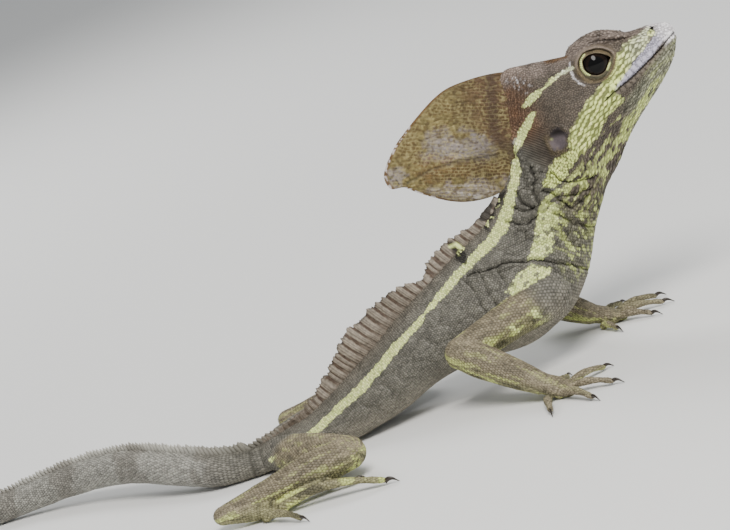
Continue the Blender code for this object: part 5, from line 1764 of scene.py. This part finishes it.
def make_head_crest(along=420, across=190):
    """The rounded crest behind the casque: a thin blade with small flat scales, a crease and a mottle."""
    rim, root = resample(CREST_RIM, along), resample(CREST_ROOT, along)
    t = np.linspace(0, 1, across)[:, None]
    flat = root[None] * (1 - t[:, :, None]) + rim[None] * t[:, :, None]
    x, z = flat[:, :, 0], flat[:, :, 1]
    crease = height_at(x, CREST_CREASE)
    bend = 0.9 * np.tanh((z - crease) / 2.5) * t * (1.4 - t)
    flatpoints = np.stack([x, z * 0, z], 2).reshape(-1, 3)
    shape = x.shape
    wave = (noise(flatpoints, 9.0, 71) - 0.5).reshape(shape) * 0.8 * t
    middle = np.stack([x, bend + wave, z], 2)
    half = 1.5 * (1 - t) + 0.42 * t + 0 * x
    half *= np.sqrt(np.clip((1 - t) * 14, 0.12, 1.0))
    border, tag = (c.reshape(shape) for c in bricks(x.ravel(), z.ravel()))
    grain = noise(flatpoints, 0.5, 78).reshape(shape)
    relief = 0.1 * smooth(border, 0.0, 0.25) + 0.05 * tag + 0.1 * (grain - 0.5)
    fold = hump(z, 0.42, crease) * smooth(t, 0.12, 0.35) * fade(t, 0.85, 0.95)
    waves = np.sin((x * 0.9 + z * 0.5) * 1.1 + 4 * noise(flatpoints, 6.0, 72).reshape(shape)) * 0.06
    half = half + (relief + waves - 0.22 * fold) * smooth(1 - t, 0.0, 0.04)
    points, faces = plate_grid(middle, np.maximum(half, 0.16), np.array([0, 1.0, 0]))
    broad, small, fine = (noise(flatpoints, s, k) for s, k in ((6.0, 73), (1.9, 74), (0.8, 75)))
    border, tag, grain, edge = border.ravel(), tag.ravel(), grain.ravel(), (t + 0 * x).ravel()
    sx, sh = side_view(flatpoints)
    tone = np.tile(colour("crest"), (x.size, 1)) * (0.72 + 0.5 * tag)[:, None]
    tone = lay(tone, "casque", smooth(sx, 31, 41) * smooth(sh, 50, 58) * 0.85, 0.8)
    dark = smooth(0.4 * small + 0.3 * fine + 0.25 * broad + 0.14 * tag, 0.47, 0.66)
    tone = lay(tone, "crest_dark", dark * 0.7)
    level, plumb = sx * ROLL_COS - sh * ROLL_SIN, sx * ROLL_SIN + sh * ROLL_COS
    streak = noise(np.stack([level / 3.2, plumb / 0.8, sx * 0], 1), 1.0, 79)
    for name, outline, soft, weight in CREST_ZONES:
        patch = inside(sx, sh, outline, soft, 6.0 * (small - 0.5) + 2.4 * (fine - 0.5))
        tone = lay(tone, name, patch * weight * (0.75 + 0.25 * tag), 0.7 + 0.6 * streak)
    lower = inside(sx, sh, LOWER_BLOOM, 0.8)
    tone = lay(tone, "snout", lower * smooth(streak + 0.3 * (grain - 0.5), 0.66, 0.78) * 0.28, 0.85)
    tip = inside(sx, sh, TIP_BLOOM, 0.8)
    tone = lay(tone, "dark", tip * smooth(fine, 0.66, 0.76) * 0.8)
    seams = fade(border, 0.03, 0.2) * 0.6
    tone = lay(tone, "crest_line", seams * smooth(small + 0.4 * broad, 0.4, 0.9))
    glint = noise(flatpoints, 0.55, 87)
    tone = lay(tone, "crest_line", smooth(glint, 0.6, 0.74) * 0.42, 1.1)
    tone = lay(tone, "crest_dark", fade(glint, 0.27, 0.4) * 0.55, 0.8)
    tone = lay(tone, "crest_rust", smooth(edge, 0.965, 0.985) * 0.8)
    tone = lay(tone, "snout", smooth(edge, 0.975, 0.99) * smooth(grain, 0.5, 0.6) * (sx < 22) * 0.6)
    front = smooth(sx, 29, 36) * smooth(sh, 48, 54)
    lobe = smooth(sx, 17, 22) * fade(sh, 53, 57) * (1 - lower)
    tone = tone * ((0.62 + 0.42 * grain + 0.12 * small) * (1 - 0.2 * front) * (1 - 0.2 * lobe))[:, None]
    # Painted shade in the crest's crease.
    tone = lay(tone, "dark", fold.ravel() * 0.45)
    # Painted shadow of the casque's fold across the front of the crest.
    tone = lay(tone, "web_and_shade", fade(from_line(sx, sh, CASQUE_FOLD)[0], 0.5, 2.2) * 0.6, 0.7)
    skin = painted("crest skin", (0.55, 0.75), 0.4, 0.3, 0.35)
    both = np.concatenate([tone, tone])
    make_piece("head_crest_skin", points, faces, both, flat_unwrap(points), skin, "crest", "head_crest")


def back_line(x_values):
    """Points of the back's midline at these x, and the direction that stands up from each."""
    rows = spline(TRUNK, 8)
    order = np.argsort(rows[:, 0])
    z = np.interp(x_values, rows[order, 0], rows[order, 1])
    slope = np.gradient(z, x_values)
    up = np.stack([-slope - SAIL_SWEEP, np.zeros_like(z), np.ones_like(z)], 1)
    return np.stack([x_values, np.zeros_like(z), z], 1), units(up)


def make_back_crest(per_ray=16, levels=46):
    """The low crest along the back: close rays as ridges with rust furrows between them and a toothed rim."""
    rays = settings().sizes.rays
    feet, up = back_line(np.linspace(*SAIL_FEET, rays * per_ray + 1))
    rim = spline(SAIL_RIM, 6)
    reach = np.linspace(0.1, 12.0, 600)
    rng = np.random.default_rng(12)
    knots = np.arange(rays + 1) * per_ray
    shift = np.interp(np.arange(len(feet)), knots, rng.normal(0, 0.28, rays + 1))
    phase = np.arange(len(feet)) / per_ray + shift
    wave = 0.5 + 0.5 * np.cos(2 * np.pi * phase)
    fine_wave = 0.5 + 0.5 * np.cos(2 * np.pi * phase * 4 + 0.6)
    height = np.zeros(len(feet))
    for j, (foot, rise) in enumerate(zip(feet, up)):
        beyond = foot[2] + rise[2] * reach > np.interp(foot[0] + rise[0] * reach, rim[:, 0], rim[:, 1])
        height[j] = reach[np.argmax(beyond)]
    ray = np.floor(phase + 0.5).astype(int) % (rays + 2)
    uneven = 0.8 * (noise(feet, 0.4, 86) - 0.5) + rng.normal(0, 0.3, rays + 2)[ray]
    height += (0.5 * (wave**0.5 - 0.72) + uneven) * smooth(height, 0.5, 3.0)
    each = rng.uniform(0, 1, rays + 2)[ray]
    t = np.linspace(0, 1, levels)[:, None]
    root = 1.8
    middle = feet[None] + up[None] * ((-root + (root + height[None]) * t))[:, :, None]
    lean = 0.5 * np.sin(t * 2.0 + feet[None, :, 0] * 0.35) * t
    middle = middle + np.stack([-0.25 * np.sin(t * 3), 0 * t, 0 * t], 2)
    middle[:, :, 1] += lean
    crown = wave[None] ** 0.55
    taper = 1.3 - 0.85 * t
    half = (0.52 + 0.36 * crown + 0.17 * fine_wave[None]) * taper
    flatpoints = np.stack([middle[:, :, 0], 0 * middle[:, :, 0], middle[:, :, 2]], 2).reshape(-1, 3)
    bumps = noise(flatpoints, 0.55, 81).reshape(half.shape)
    half = half + 0.16 * (bumps - 0.5)
    half = half * np.sqrt(np.clip((1 - t) * 9, 0.1, 1.0))
    points, faces = plate_grid(middle, np.maximum(half, 0.14), np.array([0, 1.0, 0]))
    low = fade(t + 0 * half, 0.3, 0.55).ravel()
    small = noise(flatpoints, 1.6, 85)
    groove = smooth(1 - crown + 0.35 * (bumps - 0.5), 0.5, 0.78).ravel()
    shade_on = (0.62 + 0.4 * fine_wave[None] + 0.25 * each[None] + 0 * half).ravel()
    tone = np.tile(colour("ray"), (half.size, 1)) * shade_on[:, None]
    tone = lay(tone, "web_and_shade", groove * (0.9 - 0.35 * low))
    tone = lay(tone, "dark", smooth(t + 0 * half, 0.9, 1.0).ravel() * 0.6 * smooth(small, 0.35, 0.5))
    tone = lay(tone, "back", low * 0.6)
    tone = lay(tone, "back", smooth(-middle[:, :, 0], 20, 27).ravel() * 0.7, 0.95)
    tone *= (0.7 + 0.55 * noise(flatpoints, 0.5, 82))[:, None]
    x, h = side_view(flatpoints)
    pale = band(x, h, BACK_CREAM, 0.4, noise(flatpoints, 1.0, 83) * 0.8 - 0.2)
    nape = band(x, h, NAPE_ON_RAYS, 0.5, small * 2.0 - 0.8)
    spot = band(x, h, BACK_MARK, 0.4, small * 1.6 - 0.8)
    tone = lay(tone, "dark", np.maximum(nape, spot) * 0.88)
    tone = lay(tone, "stripe", pale * 0.85)
    skin = painted("ray skin", (0.5, 0.75), 0.35, 0.4, 0.35)
    both = np.concatenate([tone, tone])
    make_piece("back_crest_skin", points, faces, both, flat_unwrap(points), skin, "skin", "back_crest")


def make_spines():
    """The row of small pointed scales along the midline of the rump and the first half of the tail."""
    rings, up = tail_rings(*TAIL_GRID)
    centre = rings.mean(1)
    steps, travelled = np.arange(len(centre)), lengths(centre)
    surface = KEPT["surface"]
    rng = np.random.default_rng(15)
    at, back, normal, length = [], [], [], []
    for s in np.arange(0.5, TAIL_TEETH_END, SPINE_GAP):
        u = np.interp(s, travelled, steps)
        top = read_off(u, steps, centre)
        rise = up[int(u)]
        hit = surface.tree.ray_cast(Vector(top + rise * 12), Vector(-rise))
        ahead = read_off(u + 0.5, steps, centre) - top
        at.append(np.array(hit[0]))
        back.append(ahead / np.linalg.norm(ahead))
        normal.append(rise)
        length.append(SPINE * (1 - 0.75 * s / TAIL_TEETH_END))
    for x in np.arange(-42.0, -22.0, SPINE_GAP):
        hit = surface.tree.ray_cast(Vector((x, 0, 40)), Vector((0, 0, -1)))
        at.append(np.array(hit[0]))
        back.append(np.array([-1.0, 0, -0.3]))
        normal.append(np.array([-0.2, 0, 1.0]))
        length.append(1.9)
    at, back, normal, length = (np.array(a) for a in (at, back, normal, length))
    length = length * rng.uniform(0.88, 1.12, len(length))
    tilted = units(normal * 0.9 + back * 0.42)
    side = np.cross(normal, back)
    points, faces, shades = [], [], []
    for k in range(len(at)):
        base = len(points)
        for rise, size in SPINE_LEVELS:
            for a, b in SPINE_RING:
                foot = at[k] + tilted[k] * length[k] * rise * 0.9
                points.append(foot + (back[k] * a * 1.2 + side[k] * b * 1.2) * length[k] * size)
                shades.append(0.75 + 0.45 * rise)
        points.append(at[k] + tilted[k] * length[k])
        shades.append(1.3)
        for low in (base, base + 4):
            for j in range(4):
                a, b = low + j, low + (j + 1) % 4
                faces += [(a, b, b + 4), (a, b + 4, a + 4)]
        faces += [(base + 8 + j, base + 8 + (j + 1) % 4, base + 12) for j in range(4)]
    points = np.array(points)
    tone = tail_paint(points) * 1.15 * np.array(shades)[:, None]
    make_piece("spine_scales", points, faces, tone, surface.nearest(points)[3], scale_material(), "skin")


# Eyes and claws.


def make_eyes(rows=56, sides=72):
    """Each eye: a dark ball with a round pupil, a thin iris and a slight bulge of the cornea."""
    for sign, side in ((-1, "right"), (1, "left")):
        polar = np.linspace(0.0, math.pi, rows)[1:-1]
        rings = []
        for a in polar:
            bulge = EYE_RADIUS + CORNEA * math.exp(-((a / 0.42) ** 2))
            wide = bulge * math.sin(a)
            centre = np.array([EYE[0], sign * (EYE_Y + bulge * math.cos(a)), EYE[1]])
            rings.append(oval(centre, np.array([wide, 0, 0]), np.array([0, 0, wide]), sides, 2.0))
        points, faces = loft(rings)
        points[-2] = (EYE[0], sign * (EYE_Y + EYE_RADIUS + CORNEA), EYE[1])
        points[-1] = (EYE[0], sign * (EYE_Y - EYE_RADIUS), EYE[1])
        mesh = bpy.data.meshes.new(f"eyeball_{side}")
        mesh.from_pydata(place(points).tolist(), [], faces)
        turn_outwards(mesh)
        mesh.shade_smooth()
        out = np.hypot(points[:, 0] - EYE[0], points[:, 2] - EYE[1])
        streak = noise(points, 0.22, 91)
        tone = np.tile(colour("iris") * 0.15, (len(points), 1))
        ring = smooth(out, 1.9, 2.1) * fade(out, 2.35, 2.7)
        tone = lay(tone, "iris", ring * (0.2 + 0.4 * streak), 0.9)
        add_paint(mesh, over(tone, np.array([0.003, 0.003, 0.003]), fade(out, 1.8, 2.0)))
        spots = (points[:, [0, 2]] - np.array(EYE)) / (EYE_RADIUS * 4.6) + 0.25
        spots[points[:, 1] * sign <= EYE_Y, 0] += 0.5
        add_patches(mesh, spots)
        wet = painted("wet eye", (0.03, 0.05), 0.3, 0.0, 0.16)
        add_piece(f"eyeball_{side}", mesh, wet, "eye", f"eye_{side}")


def make_claws(count=10, sides=10):
    """A curved horn claw on each digit."""
    points, faces, shades = [], [], []
    for _, _, _, _, digits in paws():
        for root, heading, reach, thick in digits:
            ahead = towards(heading)
            side = np.array([-ahead[1], ahead[0], 0])
            rings = []
            for t in np.linspace(0, 1, count):
                along = reach - 0.9 + (CLAW + 0.9) * t
                rise = thick * 1.15 + 0.55 * math.sin(math.pi * min(1.0, t * 1.1)) - thick * 0.95 * t**1.6
                size = thick * 0.66 * (1 - t) ** 0.75 + 0.04
                middle = np.array(root) * [1, 1, 0] + ahead * along + np.array([0, 0, max(rise, size + 0.02)])
                rings.append(oval(middle, side * size * 0.7, np.array([0, 0, size]), sides, 2.0))
            p, f = loft(np.array(rings))
            base = len(points)
            points += list(p)
            for face in f:
                a, *rest = (base + i for i in face)
                faces += [(a, b, c) for b, c in zip(rest, rest[1:])]
            shades += list(np.repeat(np.linspace(1.2, 0.6, count), sides)) + [1.2, 0.6]
    points = np.array(points)
    mesh = fast_mesh("claws", place(points), faces)
    turn_outwards(mesh)
    add_paint(mesh, np.tile(colour("claw"), (len(points), 1)) * np.array(shades)[:, None])
    add_patches(mesh, np.stack([np.arange(len(points)) % 97 / 97, np.arange(len(points)) // 97 % 97 / 97], 1))
    add_piece("claws", mesh, painted("claw horn", (0.25, 0.4), 0.3, 0.1, 0.5), "skin")


# The stage.


# The spot that the lights face, then each: place from it in metres, size, watts, tint, and whether it glints.
LIT_FROM = (10.0, 0.0, 35.0)
LIGHTS = (
    ("key", (0.07, -0.63, 0.78), 0.48, 11.5, (1.0, 0.97, 0.93), True),
    ("fill", (0.65, -0.60, 0.25), 0.6, 2.0, (0.92, 0.96, 1.0), False),
    ("rim", (-0.35, 0.70, 0.55), 0.4, 5.0, (1.0, 1.0, 1.0), False),
)


def soft_light(name, spot, aim, size, power, tint, glints):
    """A soft round lamp at a spot, facing the aim, that does or doesn't show as a glint."""
    lamp = bpy.data.lights.new(name, "AREA")
    lamp.shape = "DISK"
    lamp.size = size
    lamp.energy = power
    lamp.color = tint
    holder = bpy.data.objects.new(name, lamp)
    bpy.context.scene.collection.objects.link(holder)
    holder.location = spot
    holder.rotation_euler = (Vector(aim) - Vector(spot)).to_track_quat("-Z", "Y").to_euler()
    holder.visible_glossy = glints


def make_stage():
    """Floor, soft light and the camera at the photograph's angle."""
    mesh = bpy.data.meshes.new("floor")
    body = bmesh.new()
    bmesh.ops.create_grid(body, x_segments=8, y_segments=8, size=FLOOR_HALF)
    body.to_mesh(mesh)
    body.free()
    floor = bpy.data.objects.new("floor", mesh)
    bpy.context.scene.collection.objects.link(floor)
    pale = bpy.data.materials.new("pale floor")
    pale.use_nodes = True
    shader = pale.node_tree.nodes["Principled BSDF"]
    shader.inputs["Base Color"].default_value = FLOOR_PALE
    shader.inputs["Roughness"].default_value = 0.95
    mesh.materials.append(pale)
    world = bpy.data.worlds.new("studio")
    world.use_nodes = True
    sky = world.node_tree.nodes["Background"].inputs
    sky["Color"].default_value = SKY
    sky["Strength"].default_value = SKY_STRENGTH
    bpy.context.scene.world = world
    middle = Vector(place([LIT_FROM])[0])
    for name, away, size, power, tint, glints in LIGHTS:
        soft_light(name, middle + Vector(away), middle, size, power, tint, glints)
    make_camera()


def make_camera():
    """The camera stands 0.7 m off, 12 degrees up, and is rolled 21 degrees, as the photograph was taken."""
    away = AWAY * MM
    aim = Vector(place([(0.0, 0.0, AIM_HEIGHT)])[0])
    into = Vector((0, math.cos(SIGHT), -math.sin(SIGHT)))
    flat, raised = Vector((1, 0, 0)), Vector((0, math.sin(SIGHT), math.cos(SIGHT)))
    right = flat * math.cos(PHOTO_ROLL) - raised * math.sin(PHOTO_ROLL)
    up = flat * math.sin(PHOTO_ROLL) + raised * math.cos(PHOTO_ROLL)
    lens = bpy.data.cameras.new("camera")
    lens.sensor_width = 36.0
    lens.lens = lens.sensor_width * away / PHOTO_WIDTH
    lens.clip_start = 0.01
    camera = bpy.data.objects.new("camera", lens)
    bpy.context.scene.collection.objects.link(camera)
    stand = Matrix((right, up, -into)).transposed().to_4x4()
    stand.translation = aim - into * away
    camera.matrix_world = stand
    bpy.context.scene.camera = camera


class BASILISK_OT_skin(bpy.types.Operator):
    """Makes one skin over the body, tail and limbs"""

    bl_idname = "basilisk.skin"
    bl_label = "Skin"

    def execute(self, context):
        make_skin()
        return {"FINISHED"}


class BASILISK_OT_head_scales(bpy.types.Operator):
    """Scatters the head's small scales"""

    bl_idname = "basilisk.head_scales"
    bl_label = "Head scales"

    def execute(self, context):
        make_head_scales()
        return {"FINISHED"}


class BASILISK_OT_body_scales(bpy.types.Operator):
    """Lays rows of scales along the trunk and neck"""

    bl_idname = "basilisk.body_scales"
    bl_label = "Body scales"

    def execute(self, context):
        make_body_scales()
        return {"FINISHED"}


class BASILISK_OT_tail_scales(bpy.types.Operator):
    """Lays rows of scales along the tail"""

    bl_idname = "basilisk.tail_scales"
    bl_label = "Tail scales"

    def execute(self, context):
        make_tail_scales()
        return {"FINISHED"}


class BASILISK_OT_limb_scales(bpy.types.Operator):
    """Lays rows of scales on the limbs, hands and feet"""

    bl_idname = "basilisk.limb_scales"
    bl_label = "Limb scales"

    def execute(self, context):
        make_limb_scales()
        return {"FINISHED"}


class BASILISK_OT_lips(bpy.types.Operator):
    """Sets the plates along both lips"""

    bl_idname = "basilisk.lips"
    bl_label = "Lips"

    def execute(self, context):
        make_lips()
        return {"FINISHED"}


class BASILISK_OT_lids(bpy.types.Operator):
    """Folds the lids round both eyes"""

    bl_idname = "basilisk.lids"
    bl_label = "Lids"

    def execute(self, context):
        make_lids()
        return {"FINISHED"}


class BASILISK_OT_head_crest(bpy.types.Operator):
    """Makes the crest behind the casque"""

    bl_idname = "basilisk.head_crest"
    bl_label = "Head crest"

    def execute(self, context):
        make_head_crest()
        return {"FINISHED"}


class BASILISK_OT_back_crest(bpy.types.Operator):
    """Makes the rayed crest along the back"""

    bl_idname = "basilisk.back_crest"
    bl_label = "Back crest"

    def execute(self, context):
        make_back_crest()
        return {"FINISHED"}


class BASILISK_OT_spines(bpy.types.Operator):
    """Sets the pointed scales along the rump and tail"""

    bl_idname = "basilisk.spines"
    bl_label = "Spines"

    def execute(self, context):
        make_spines()
        return {"FINISHED"}


class BASILISK_OT_eyes(bpy.types.Operator):
    """Makes both eyes"""

    bl_idname = "basilisk.eyes"
    bl_label = "Eyes"

    def execute(self, context):
        make_eyes()
        return {"FINISHED"}


class BASILISK_OT_claws(bpy.types.Operator):
    """Makes the claws"""

    bl_idname = "basilisk.claws"
    bl_label = "Claws"

    def execute(self, context):
        make_claws()
        return {"FINISHED"}


class BASILISK_OT_stage(bpy.types.Operator):
    """Adds the floor, the lights and the camera"""

    bl_idname = "basilisk.stage"
    bl_label = "Stage"

    def execute(self, context):
        make_stage()
        return {"FINISHED"}


OPERATORS = (
    BASILISK_OT_skin,
    BASILISK_OT_head_scales,
    BASILISK_OT_body_scales,
    BASILISK_OT_tail_scales,
    BASILISK_OT_limb_scales,
    BASILISK_OT_lips,
    BASILISK_OT_lids,
    BASILISK_OT_head_crest,
    BASILISK_OT_back_crest,
    BASILISK_OT_spines,
    BASILISK_OT_eyes,
    BASILISK_OT_claws,
    BASILISK_OT_stage,
)


class BASILISK_PT_panel(bpy.types.Panel):
    """Lists the basilisk's pieces, sizes and colours."""

    bl_label = "Basilisk"
    bl_idname = "BASILISK_PT_panel"
    bl_space_type = "VIEW_3D"
    bl_region_type = "UI"
    bl_category = "Basilisk"

    def draw(self, context):
        """Shows every setting, then a button for each piece."""
        for group in (context.scene.basilisk.sizes, context.scene.basilisk.colours):
            for key in group.__annotations__:
                self.layout.prop(group, key)
        for made in OPERATORS:
            self.layout.operator(made.bl_idname)


CLASSES = [BasiliskColours, BasiliskSizes, BasiliskSettings, *OPERATORS, BASILISK_PT_panel]


def register():
    """Register the classes and the settings."""
    for made in CLASSES:
        bpy.utils.register_class(made)
    bpy.types.Scene.basilisk = PointerProperty(type=BasiliskSettings)


def unregister():
    """Take the settings and the classes away."""
    del bpy.types.Scene.basilisk
    for made in reversed(CLASSES):
        bpy.utils.unregister_class(made)


def main():
    """Make every piece in order."""
    register()
    bpy.ops.basilisk.skin()
    bpy.ops.basilisk.head_scales()
    bpy.ops.basilisk.body_scales()
    bpy.ops.basilisk.tail_scales()
    bpy.ops.basilisk.limb_scales()
    bpy.ops.basilisk.lips()
    bpy.ops.basilisk.lids()
    bpy.ops.basilisk.head_crest()
    bpy.ops.basilisk.back_crest()
    bpy.ops.basilisk.spines()
    bpy.ops.basilisk.eyes()
    bpy.ops.basilisk.claws()
    bpy.ops.basilisk.stage()


if __name__ == "__main__":
    main()
